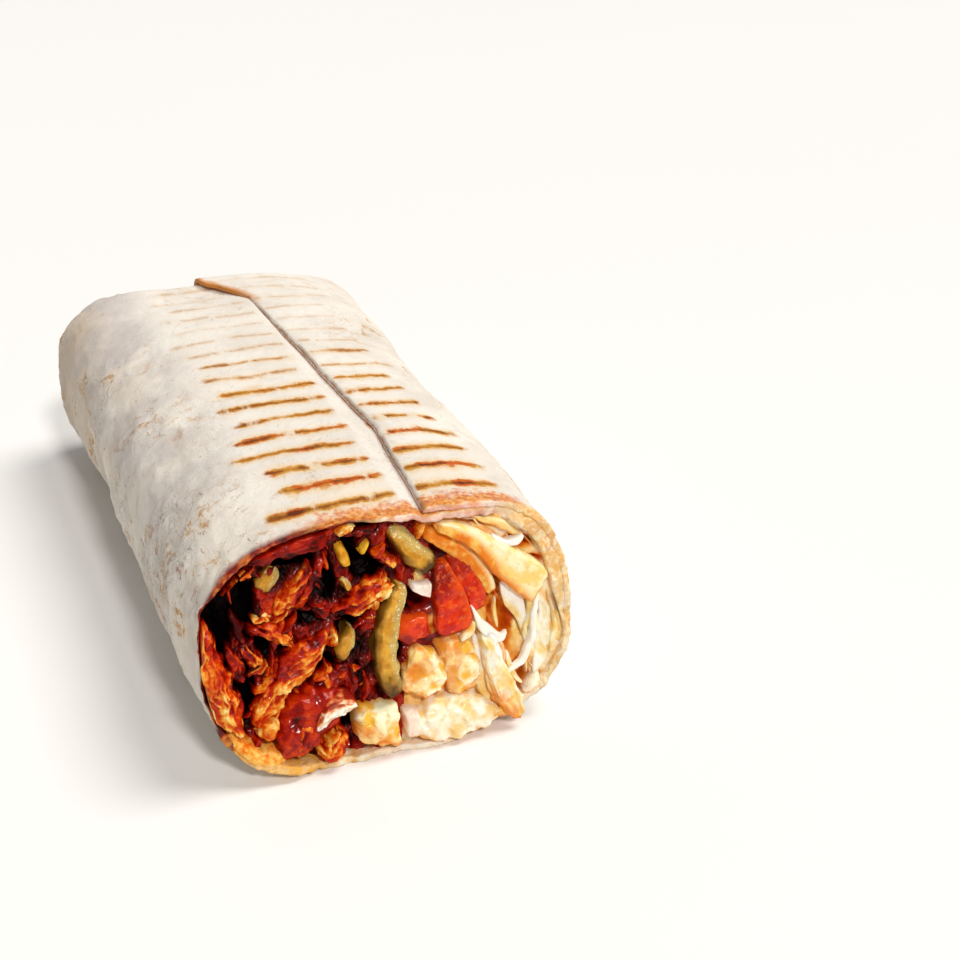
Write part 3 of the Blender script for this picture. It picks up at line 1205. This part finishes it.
wetness = wetness * (0.12 + ease_node(level, 0.36, 0.56) * 0.24)
set_inputs(shader, Coat_Weight=wetness)

# %% Chicken strips
# Each path is (x, z, width) in mm on the cut, and front and back are mm behind it
CHICKEN_RELIEF = dict(back=15, fold=0.55, fibre=0.36, grain=0.26, waver=0.45, square=3.2)
CHICKEN_STRIPS = {
    "top_slab": dict(
        path=[(-26, 39, 3.4), (-17, 41.2, 4.4), (-8.8, 41.2, 3.6)], front=-0.6, tone=0.6, spare=-0.9,
        fibre=0.12, grain=0.1, fold=0.4, rough=0.8,
    ),
    "crumb": dict(path=[(-27, 37, 1.6), (-25.9, 36.8, 2), (-24.9, 36.2, 1.5)], front=1, along=6, tone=0.4),
    "left_dark": dict(path=[(-31, 29, 4.5), (-28.6, 34, 5), (-26.4, 36.6, 3)], front=5, tone=0.9),
    "shard_low": dict(
        path=[(-22.2, 27.6, 4), (-18, 31.6, 3.2), (-13.2, 37, 1.8)], front=0.3, tone=0.36, end=0.1,
    ),
    "shard_high": dict(
        path=[(-17.4, 29.2, 2.6), (-13.6, 33.6, 2.8), (-10.4, 38.6, 2.4)], front=0.8, tone=0.45,
    ),
    "mid_strip": dict(
        path=[(-27.5, 27.6, 2.4), (-22, 26, 3.6), (-17.8, 23, 2.2)],
        front=0.4, tone=0.42, skin=0.12, end=-0.12,
    ),
    "top_right_slab": dict(
        path=[(-7.8, 40.8, 1.6), (-3, 41, 2), (0.8, 41, 1.4)], front=0.4, along=6, tone=0.7
    ),
    "mass_middle": dict(path=[(-26, 19.5, 3), (-21, 22.4, 3.2), (-16.5, 25.4, 3)], front=3.5, tone=0.75),
    "mass_centre": dict(path=[(-17.4, 25.6, 3.4), (-13.6, 25.2, 3.2), (-11, 25.4, 2)], front=3, tone=0.7),
    "mass_right": dict(path=[(-7, 25, 1.4), (-5.8, 24, 1.8), (-5, 22.2, 1.4)], front=3, along=6, tone=0.7),
    "stub": dict(path=[(-30.6, 25.2, 3), (-29.6, 21, 3.6), (-29.2, 17, 1.8)], front=1.2, tone=0.5),
    "knob": dict(path=[(-28, 25, 2.6), (-26.6, 22.6, 3.6), (-25.2, 20, 3)], front=0.8, tone=0.4),
    "big_strip": dict(
        path=[(-27.5, 9.6, 4.6), (-24.6, 14.5, 6), (-19.8, 18.8, 5.6), (-15, 21.6, 4.8), (-11.6, 24.4, 3)],
        front=-1, back=16, around=12, along=12, rough=0.8, tone=0.32, skin=0.22, end=0.14,
    ),
    "right_strip": dict(
        path=[(-8.6, 26.8, 2.6), (-4.2, 29.2, 4), (0.4, 32.8, 3.2)],
        front=-0.4, back=14, rough=0.6, tone=0.3, skin=0.16,
    ),
    "upper_bit": dict(
        path=[(-1.6, 36, 1.6), (-0.4, 35.4, 2.2), (1, 34.6, 1.6)], front=1, back=14, along=6, tone=0.3,
    ),
    "left_edge": dict(
        path=[(-34.2, 29.8, 3), (-34.3, 22, 5), (-32.6, 14.5, 5.4), (-30, 8.6, 3)],
        front=-1.8, back=16, around=14, along=11, square=3.2, rough=0.7, tone=0.26, skin=0.12, spare=-1.2,
    ),
    "bottom_chunk": dict(
        path=[(-25, 4.6, 5), (-19.5, 8.8, 10), (-10.6, 12.6, 6)],
        front=-1.8, back=16, around=12, along=10, rough=0.8, tone=0.54, skin=0.06, fibre=0.14, grain=0.1,
    ),
    "bottom_bit": dict(path=[(-17, 3.4, 3.2), (-14, 4, 4.4), (-11, 5.4, 3)], front=-2, tone=0.34, spare=-0.8),
    "low_left": dict(
        path=[(-33, 10.4, 2.6), (-29.4, 6, 3.8), (-22, 3.8, 3.2)], front=-1.4, tone=0.14, skin=0.1, spare=-1,
        fold=0.15, fibre=0.06, grain=0.05, waver=0.15,
    ),
    "centre_slab": dict(path=[(-14.4, 27.6, 3.4), (-12.6, 31, 4.6), (-11.2, 34, 2.6)], front=3, tone=0.7),
    "centre_bit": dict(path=[(-15, 29.4, 2), (-13, 28, 2.6), (-10.6, 27.2, 2)], front=0.6, along=6, tone=0.5),
    "red_lump": dict(path=[(-11.6, 27.4, 3.2), (-9.6, 26.6, 3.4), (-7.4, 26, 2.4)], front=2, tone=0.65),
    "low_lump": dict(path=[(-6.6, 18.2, 1.6), (-7, 15.4, 2.6), (-7.6, 12.4, 2.4)], front=1.6, tone=0.65),
    "under_strip": dict(path=[(-22, 12, 4), (-16, 14.6, 4.2), (-11.6, 15, 3)], front=5, tone=0.85),
    "edge_crumb_a": dict(
        path=[(-17.4, 19, 1.6), (-15.6, 20.2, 2.2), (-13.4, 21, 1.6)], front=0.2, along=6, tone=0.22,
    ),
    "edge_crumb_b": dict(
        path=[(-12.6, 21.6, 1.4), (-11.4, 23, 2), (-10.8, 24.6, 1.4)], front=0.4, along=6, tone=0.3,
    ),
    "low_flake": dict(
        path=[(-27.8, 8.8, 2), (-25.6, 9.6, 3), (-23.4, 11.4, 2.2)], front=-1.6, along=6, tone=0.12,
    ),
    "red_rib": dict(
        path=[(-20.4, 3.6, 2.6), (-19.6, 7.6, 3.2), (-18, 11.4, 2.2)], front=-2.2, tone=0.46, skin=-0.1,
    ),
    "gold_flake": dict(
        path=[(-3.6, 28, 1.6), (-1.6, 29.4, 2.4), (1.2, 31, 2)], front=-1, back=14, along=6, tone=0.12,
    ),
    "gold_tip": dict(
        path=[(-0.6, 35.8, 1.2), (1, 35, 1.8), (2.8, 33.8, 1.2)], front=-0.2, back=14, along=6, tone=0.16,
    ),
    "pale_sliver": dict(
        path=[(-8.4, 41.4, 0.9), (-6.8, 42.2, 1.2), (-4.8, 43.4, 0.7)],
        front=-0.8, back=4, along=6, tone=0.08, spare=-0.9,
    ),
    "shoulder": dict(path=[(-12, 16.8, 2), (-9.6, 16.2, 2.8), (-7.6, 13.6, 2)], front=1.6, tone=0.5),
    "low_shard": dict(
        path=[(-25.8, 28.6, 1.2), (-23.4, 29.4, 1.8), (-21.6, 28.4, 1.4)], front=0.6, along=6, tone=0.26,
    ),
    "back_shard": dict(
        path=[(-5.6, 33.2, 2.2), (-3.2, 33.2, 2.6), (-0.4, 34.6, 1.8)], front=4, along=6, tone=0.7,
    ),
}
bm = new_mesh()
for i, spec in enumerate(CHICKEN_STRIPS.values()):
    add_bar(bm, seed=20 + i, **{**CHICKEN_RELIEF, **spec})
chicken_strips = finish_mesh("chicken_strips", bm, chicken_look)


def clear_of_loose_pieces(x, z, room):
    """False where a loose piece shows at this place of the cut."""
    for spec in LOOSE_PIECES.values():
        centre, _, width, _ = path_points(spec["path"], np.linspace(0, 1, 9))
        if np.any(np.hypot(centre[:, 0] - x * MM, centre[:, 1] - z * MM) < width / 2 + room * MM):
            return False
    return True


def in_hollow(x, z):
    return any(((x - cx) / rx) ** 2 + ((z - cz) / rz) ** 2 < 1 for cx, cz, rx, rz, _ in HOLLOWS)


def scatter_shreds(bm, count, draw, left_of_plane, lengths, widths, fronts, tones, angles, **relief):
    """Short torn shreds across the cut, clear of the hollows and of the pieces that show."""
    made = 0
    while made < count:
        x, z = draw.uniform(-34, 31), draw.uniform(3, 41)
        if (x - DIVIDE_X / MM - DIVIDE_SLOPE * z < 0) != left_of_plane:
            continue
        if in_hollow(x, z) or not clear_of_loose_pieces(x, z, 0.8):
            continue
        angle, length = math.radians(draw.uniform(*angles)), draw.uniform(*lengths)
        width, bend = draw.uniform(*widths), draw.uniform(-0.18, 0.18) * length
        dx, dz = math.cos(angle) * length / 2, math.sin(angle) * length / 2
        middle = (x - dz * bend / length, z + dx * bend / length, width)
        path = [(x - dx, z - dz, width * 0.6), middle, (x + dx, z + dz, width * 0.5)]
        front, tone = draw.uniform(*fronts), draw.uniform(*tones)
        add_bar(bm, path, front, front + 5, seed=200 + made, tone=tone, waver=0.5, fineness=0.5, **relief)
        made += 1


SHREDS = 95
bm = new_mesh()
scatter_shreds(
    bm, SHREDS, random.Random(7), True, lengths=(2.5, 7.5), widths=(0.7, 2.0), fronts=(0.2, 3.0),
    tones=(0.14, 0.62), angles=(20, 110), rough=0.5, fold=0.3, fibre=0.22, grain=0.1, square=3,
)
chicken_shreds = finish_mesh("chicken_shreds", bm, chicken_look)


# %% [markdown]
# One thick piece at the bottom was cut through its white breast meat. The marinade stays outside it, so the
# cut shows a pale arch with short fibres, which is a piece of its own in a paler finish.

# %% Breast meat
breast_look, tree, shader = new_material("breast_meat", 0.38, Subsurface_Weight=0.3, Specular_IOR_Level=0.4)
set_inputs(shader, Subsurface_Radius=(1.0, 0.6, 0.4), Subsurface_Scale=1.2 * MM)
place = object_place(tree)
height, side = attribute(tree, "height"), attribute(tree, "side")
patches = noise_mask(place, 500.0, detail=3.0)
level = patches - height * 0.5
level = level + ease_node(side, 0.2, 1.0) * 0.4
colour = colour_steps(
    level, (0.40, srgb(254, 244, 226)), (0.56, srgb(248, 214, 176)), (0.70, srgb(226, 122, 62)),
    (0.90, srgb(150, 24, 6)),
)
set_inputs(shader, Base_Color=colour)
wet(shader, Size=700.0, Depth=0.12, Fine_Depth=0.05)
bm = new_mesh()
add_bar(
    bm, [(-17.2, 8.4, 1.4), (-14.6, 11, 2.4), (-11.6, 12, 2.8), (-8.8, 11.4, 1.8)], front=-2.7, back=4,
    seed=61, along=10, rough=0.4, fold=0.3, fibre=0.3, grain=0.12, waver=0.3, square=3.2,
)
breast_arch = finish_mesh("breast_arch", bm, breast_look)
chicken_core = make_core("chicken_core", -1, chicken_look)
chicken_bed = make_bed("chicken_bed", -1, chicken_look)
for piece in (chicken_strips, chicken_shreds, breast_arch, chicken_core, chicken_bed):
    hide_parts("chicken_filling")

# %% [markdown]
# ## Cabbage
# Shredded cabbage is thin, curly and half see-through: white along its ribs, yellow where light passes
# through it. The shreds are the same bars, but narrow and smooth.

# %% Cabbage material
cabbage_look, tree, shader = new_material(
    "cabbage_shreds", 0.35, Subsurface_Weight=0.35, Specular_IOR_Level=0.2, Coat_Weight=0.2,
    Coat_Roughness=0.12,
)
set_inputs(shader, Subsurface_Radius=(1.0, 0.9, 0.6), Subsurface_Scale=1.0 * MM)
place = object_place(tree)
depth, tone, side, along = (attribute(tree, name) for name in ("depth", "tone", "side", "along"))
patches = noise_mask(place, 240.0, detail=3.0)
colour = three_colours(patches, (0.34, 242, 188, 88), (0.48, 251, 222, 158), (0.6, 255, 251, 238))
clean = ease_node(tone, 0.0, -0.1) * 0.85
colour = mix_colours(clean, colour, srgb(255, 251, 240))
streak_place = value_of(tree, "CombineXYZ", X=along * 0.7, Y=side, Z=depth)
streaks = noise_mask(streak_place, 2.6, detail=3.0)
uneven = (patches - 0.5) * 0.5
uneven = uneven + (streaks - 0.5) * 0.8
uneven = times_plus(attribute(tree, "facing_up"), -0.28, uneven)
oily = ease_node(tone + uneven, 0.05, 0.66)
oil = three_colours(oily, (0.0, 250, 214, 128), (0.5, 246, 184, 66), (1.0, 232, 136, 24))
colour = mix_colours(oily * 0.95, colour, oil)
deep = ease_node(depth, 0.8, 3.8)
colour = mix_colours(deep * 0.9, colour, srgb(216, 118, 24))
set_inputs(shader, Base_Color=colour)
wet(shader, Size=500.0, Depth=0.12, Fine_Depth=0.03)

# %% Salad bed material
salad_look, tree, shader = new_material(
    "salad_sauce", 0.35, Subsurface_Weight=0.2, Specular_IOR_Level=0.2, Coat_Weight=0.25, Coat_Roughness=0.1
)
set_inputs(shader, Subsurface_Radius=(1.0, 0.6, 0.3), Subsurface_Scale=1.5 * MM)
place = object_place(tree)
orange_zone, red_zone, cream_zone, depth = (
    attribute(tree, name) for name in ("along", "side", "tone", "depth"))
patches = noise_mask(place, 260.0, detail=2.0)
uneven = patches - 0.5
colour = three_colours(patches, (0.36, 240, 160, 44), (0.5, 250, 192, 84), (0.64, 254, 222, 140))
cream = ease_node(cream_zone + uneven, 0.2, 0.6)
shallow = ease_node(depth + uneven * 3.0, 2.0, 0.6)
cream = larger(cream, shallow * 0.6)
cream_colours = three_colours(patches, (0.36, 250, 224, 166), (0.5, 254, 240, 206), (0.64, 255, 249, 232))
colour = mix_colours(cream, colour, cream_colours)
orange = ease_node(orange_zone - uneven, 0.35, 0.8)
orange = larger(orange, ease_node(depth, 1.5, 3.0))
orange_colours = three_colours(patches, (0.36, 206, 84, 10), (0.5, 232, 128, 22), (0.64, 246, 172, 54))
colour = mix_colours(orange, colour, orange_colours)
red = ease_node(red_zone - uneven, 0.3, 0.6)
red_colours = three_colours(patches, (0.36, 70, 4, 2), (0.5, 140, 14, 4), (0.64, 200, 54, 12))
colour = mix_colours(red, colour, red_colours)
set_inputs(shader, Base_Color=colour)
wet(shader, Size=500.0, Depth=0.1, Fine_Depth=0.03)

# %% Cabbage shreds
# Here the tone is how much orange oil a shred has taken up
CABBAGE_RELIEF = dict(back=15, fold=0.2, fibre=0.05, grain=0.02, waver=0.2, square=3.6)
CABBAGE_STRIPS = {
    "hook": dict(
        path=[(15.6, 24.4, 1), (16.8, 21.2, 1.7), (19, 18.4, 2.1), (21.2, 17.6, 1.6), (22.2, 18.6, 0.9)],
        front=-1.1, back=1, tone=-0.12, blunt=2,
    ),
    "strand": dict(
        path=[(20.8, 25, 0.7), (20.4, 21.6, 0.9), (20.8, 18.6, 0.6)], front=0.2, back=1.4, tone=0.2, blunt=2,
    ),
    "fork": dict(
        path=[(29.6, 25.4, 1.6), (28, 20.4, 1.3), (26.8, 15.6, 1.5), (24.6, 12.2, 1.8), (21.4, 10.2, 1.4)],
        front=-1, back=0.8, along=12, tone=-0.12, blunt=2,
    ),
    "veil_high": dict(
        path=[(23, 27.4, 4), (24.4, 24.4, 4.4), (25.6, 20.4, 2.4), (26.4, 14.6, 0.7)],
        front=0.4, back=1.3, along=12, square=4, blunt=2.5, tone=-0.06, end=0.1, skin=-0.12,
    ),
    "veil_left": dict(
        path=[(20.4, 17.6, 1), (21.2, 14, 1.6), (21.4, 10.6, 1.2)], front=0.9, back=2.4, tone=0.5,
    ),
    "stalk": dict(
        path=[(17.8, 19.4, 3.6), (18.6, 13, 5), (20.4, 7.2, 5.6), (23.1, 1.2, 2.4)],
        front=-2.4, back=12, around=16, along=14, square=5, blunt=5, tone=0.3, end=0.36, skin=-0.26,
        fold=0.5, fibre=0.3, grain=0.08,
    ),
    "stalk_left": dict(
        path=[(16, 18.8, 2), (16.1, 13, 2.8), (16.6, 7.4, 3.4), (18, 2.6, 2.8)],
        front=-0.4, back=12, tone=0.14, end=0.24, skin=-0.1,
    ),
    "thread_top": dict(
        path=[(15.6, 21.6, 0.9), (14.6, 19.8, 1.2), (12.6, 18.6, 0.9)], front=-1.4, back=0.6, tone=0.0,
    ),
    "thread_fork": dict(
        path=[(27.6, 24.6, 0.8), (27.4, 20.6, 1), (25.6, 17, 0.8)], front=-0.4, back=0.8, tone=0.0,
    ),
    "thread_low": dict(
        path=[(22, 14, 0.8), (22.6, 10.4, 1.1), (24.6, 7.4, 0.9)], front=0.2, back=1.6, tone=0.2,
    ),
    "thread_wall": dict(
        path=[(32.4, 24, 0.8), (32.8, 18.4, 1.1), (31, 12, 0.9)], front=0.0, back=1.4, tone=0.06,
    ),
    "leaf_right": dict(
        path=[(30.6, 23, 2.4), (30.6, 17, 3.4), (29.2, 11.6, 3.2), (27, 7.4, 1.4)],
        front=0.9, back=2.2, around=12, square=4, blunt=2, spare=-0.8, tone=0.1, skin=0.2, end=0.14,
    ),
    "leaf_low": dict(
        path=[(28.4, 9.4, 1.4), (27, 6.4, 2.6), (24.8, 4.4, 2)], front=-0.2, spare=-0.8, tone=0.3
    ),
    "sauce_low": dict(
        path=[(14.4, 3.4, 2.6), (19.4, 3.6, 3.4), (24, 4.4, 2.6)], front=-1.6, spare=-0.8, tone=0.5,
    ),
    "leaf_wall": dict(
        path=[(33.6, 32.4, 2), (34.6, 26, 3.2), (34.4, 18, 3.4), (31.8, 10.6, 2.4)],
        front=0.5, along=12, spare=-1, tone=0.2, skin=0.2,
    ),
    "leaf_under_fry": dict(path=[(22, 25.6, 1.2), (25.4, 23.4, 1.8), (30, 22, 1.4)], front=1.0, tone=0.4),
    "leaf_top": dict(
        path=[(16, 40.8, 1.4), (22.6, 38.4, 2.4), (29, 34, 2.2)], front=0.3, spare=-0.4, tone=0.42,
    ),
    "leaf_upper": dict(
        path=[(23.6, 39.8, 1.4), (29, 36.8, 3), (32.6, 31.4, 2)], front=0.5, square=5, spare=-0.6, tone=0.3
    ),
    "curl": dict(
        path=[(21.4, 36.4, 0.9), (24, 34.4, 1.4), (26.6, 34.4, 1.3), (28, 35.6, 0.9)],
        front=-0.4, back=2, tone=-0.12,
    ),
    "curl_back": dict(
        path=[(17.6, 38.6, 1), (20.6, 36.8, 1.6), (23, 34.8, 1.2)], front=0.6, back=4, tone=0.6,
    ),
}
bm = new_mesh()
for i, spec in enumerate(CABBAGE_STRIPS.values()):
    add_bar(bm, seed=20 + i, **{**CABBAGE_RELIEF, **spec})
cabbage_shreds = finish_mesh("cabbage_shreds", bm, cabbage_look)
bm = new_mesh()
scatter_shreds(
    bm, 22, random.Random(11), False, lengths=(4, 9), widths=(0.5, 1.1), fronts=(0.6, 2.2),
    tones=(0.0, 0.7), angles=(95, 150), rough=0.4, fold=0.2, fibre=0.04, grain=0.02, square=2.6,
)
cabbage_threads = finish_mesh("cabbage_threads", bm, cabbage_look)
cabbage_core = make_core("cabbage_core", 1, cabbage_look)
salad_bed = make_bed("salad_bed", 1, salad_look)
for piece in (cabbage_shreds, cabbage_threads, cabbage_core, salad_bed):
    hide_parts("cabbage_filling")

# %% [markdown]
# ## Loose pieces
# Pickles, pepper, tomato, fries, onion, turnip, potato and sauce each replace one CAD solid, in the same
# place. They differ in how square their section is, how smooth they are, and in their finish.

# %% Pickle, pepper and tomato materials
def fruit_material(
    name, flesh, dark_flesh, skin, skin_from, skin_to, end_skin=0.0, frost=0.0, clear=0.2, shine=0.12,
    coat=0.3, shadow=0.0, far_side=None, fleck=None,
):
    """Wet flesh with a skin on one side, a dark end, and bubbles of brine on the other side."""
    look, tree, shader = new_material(
        name, 0.3, Subsurface_Weight=clear, Specular_IOR_Level=shine, Coat_Weight=coat, Coat_Roughness=0.07
    )
    set_inputs(shader, Subsurface_Radius=(1.0, 0.5, 0.2), Subsurface_Scale=1.2 * MM)
    place = object_place(tree)
    side, depth, along = (attribute(tree, key) for key in ("side", "depth", "along"))
    patches = noise_mask(place, 380.0, detail=3.0)
    colour = mix_colours(ease_node(patches, 0.36, 0.64), dark_flesh, flesh)
    streak_place = value_of(tree, "CombineXYZ", X=along * 1.6, Y=side, Z=depth)
    streaks = ease_node(noise_mask(streak_place, 2.2, detail=3.0), 0.5, 0.7)
    colour = mix_colours(streaks * 0.5, colour, dark_flesh)
    uneven = (patches - 0.5) * 0.5
    start = ease_node(along + uneven, 0.6, 0.1)
    colour = mix_colours(start * shadow, colour, srgb(120, 8, 3))
    if far_side:
        lit = ease_node(side + uneven, 0.1, 1.0) * 0.7
        colour = mix_colours(lit, colour, far_side)
    if fleck:
        flecks = ease_node(noise_mask(place, 1000.0, detail=3.0), 0.54, 0.64)
        colour = mix_colours(flecks * 0.5, colour, fleck)
    end = ease_node(along + uneven, 0.72, 0.92)
    colour = mix_colours(end * end_skin, colour, skin)
    skin_mask = ease_node(side + uneven, skin_from, skin_to)
    colour = mix_colours(skin_mask, colour, skin)
    colour = mix_colours(ease_node(depth, 2.0, 8.0) * 0.75, colour, skin)
    bubbles = value_of(tree, "TexVoronoi", output="Distance", Vector=place, Scale=1500.0)
    frosted = side - along * 0.9 + uneven
    frosted = ease_node(frosted, -0.5, 0.3) * frost
    frosted = frosted * times_plus(end, -0.8, 1.0)
    colour = mix_colours(frosted * 0.6, colour, srgb(190, 174, 110))
    beads = ease_node(bubbles, 0.34, 0.18) * frosted
    colour = mix_colours(beads, colour, srgb(240, 236, 206))
    set_inputs(shader, Base_Color=colour)
    wet(shader, Size=650.0, Depth=0.12, Fine_Depth=0.06)
    return look


LOOKS = {
    "pickle": fruit_material(
        "pickle_flesh", srgb(234, 178, 62), srgb(198, 134, 34), srgb(84, 54, 8), -0.3, -1.1, end_skin=1.0,
        frost=1.0, far_side=srgb(214, 184, 96),
    ),
    "pepper": fruit_material(
        "pepper_flesh", srgb(244, 190, 50), srgb(214, 132, 16), srgb(176, 70, 8), -0.6, -1.1
    ),
    "tomato": fruit_material(
        "tomato_flesh", srgb(236, 60, 12), srgb(196, 26, 4), srgb(120, 8, 2), -0.8, -1.3, clear=0.04,
        shine=0.1, coat=0.45, shadow=0.7, far_side=srgb(238, 88, 16), fleck=srgb(244, 110, 34),
    ),
}

# %% Pale materials
def pale_material(name, light, dark, stain_colour, stain, roughness=0.4, oily_side=0.0, specks=0.4, seed=0.0):
    """Soft pale food with orange oil on it, most of it on the side that lies lower."""
    look, tree, shader = new_material(
        name, roughness, Subsurface_Weight=0.2, Specular_IOR_Level=0.2, Coat_Weight=0.2, Coat_Roughness=0.15
    )
    set_inputs(shader, Subsurface_Radius=(1.0, 0.7, 0.4), Subsurface_Scale=1.6 * MM)
    place = object_place(tree)
    depth, side, along, tone, height = (
        attribute(tree, key) for key in ("depth", "side", "along", "tone", "height"))
    patches = noise_mask(place, 300.0, detail=4.0)
    patches = patches + height * 0.4
    colour = mix_colours(ease_node(patches, 0.38, 0.62), dark, light)
    soaked = use_group(tree, OIL_STAIN, Amount=stain, Size=190.0, Seed=seed)
    deep, shallow = (0.36, srgb(230, 118, 24)), (0.64, srgb(252, 204, 100))
    deeper = colour_steps(patches, deep, (0.5, stain_colour), shallow)
    uneven = (patches - 0.5) * 1.6
    lower = uneven - side * 1.0
    lower = lower + times_plus(along, -1.4, 0.3)
    lower = lower + tone * 1.5
    lower = ease_node(lower, 0.15, 0.85) * oily_side
    under = times_plus(patches, 0.9, attribute(tree, "facing_up"))
    under = ease_node(under, 0.62, -0.05)
    clean_end = times_plus(ease_node(along, 0.5, 0.8), -0.35, 0.5)
    colour = mix_colours(soaked["Mask"] * clean_end, colour, stain_colour)
    colour = mix_colours(under * 0.85, colour, stain_colour)
    colour = mix_colours(lower, colour, deeper)
    sides = ease_node(depth + uneven, 0.3, 3.4)
    colour = mix_colours(sides * 0.95, colour, deeper)
    colour = mix_colours(soaked["Spots"] * specks, colour, srgb(206, 130, 56))
    set_inputs(shader, Base_Color=colour)
    wet(shader, Size=520.0, Depth=0.12, Fine_Depth=0.06)
    return look


LOOKS["fry"] = pale_material(
    "fry_soft", srgb(255, 242, 196), srgb(251, 212, 122), srgb(238, 134, 20), 0.4, oily_side=1.0, seed=1.0
)
LOOKS["onion"] = pale_material(
    "onion_white", srgb(252, 242, 230), srgb(238, 214, 196), srgb(220, 110, 60), 0.2, 0.25
)
LOOKS["turnip"] = pale_material(
    "turnip_pink", srgb(253, 236, 216), srgb(246, 216, 194), srgb(238, 168, 110), 0.25
)
LOOKS["potato"] = pale_material(
    "potato_soft", srgb(255, 247, 206), srgb(248, 188, 62), srgb(236, 136, 18), 0.5, oily_side=0.7,
    specks=0.2, seed=5.0,
)
LOOKS["sauce"] = pale_material(
    "garlic_sauce", srgb(255, 245, 220), srgb(247, 210, 138), srgb(236, 160, 48), 0.36, roughness=0.25,
    specks=0.1, seed=9.0,
)

# %% Loose pieces
RELIEFS = {
    "pickle": dict(fold=0.35, fibre=0.14, grain=0.06, waver=0.25),
    "pepper": dict(fold=0.15, fibre=0.05, grain=0.03, waver=0.1),
    "tomato": dict(fold=0.2, fibre=0.04, grain=0.08, waver=0.06),
    "fry": dict(fold=0.14, fibre=0.05, grain=0.04, waver=0.08),
    "onion": dict(fold=0.04, fibre=0.02, grain=0.02, waver=0.05),
    "turnip": dict(fold=0.12, fibre=0.03, grain=0.04, waver=0.1),
    "potato": dict(fold=0.65, fibre=0.08, grain=0.14, waver=0.3),
    "sauce": dict(fold=0.6, fibre=0.03, grain=0.1, waver=0.1),
}
for name, spec in LOOSE_PIECES.items():
    bm = new_mesh()
    shape = {key: value for key, value in spec.items() if key != "look"}
    add_bar(bm, **{"back": LOOSE_PIECE_BACK, **RELIEFS[spec["look"]], **shape})
    piece = finish_mesh(name + "_dressed", bm, LOOKS[spec["look"]])
    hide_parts(name)
    spec["look"]

# %% Finish
visual_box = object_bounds()
sizes = {"cad": [[float(v) for v in corner] for corner in cad_box],
         "visual": [[float(v) for v in corner] for corner in visual_box]}
print("visual box:", [[round(value / MM, 1) for value in corner] for corner in visual_box], "mm")
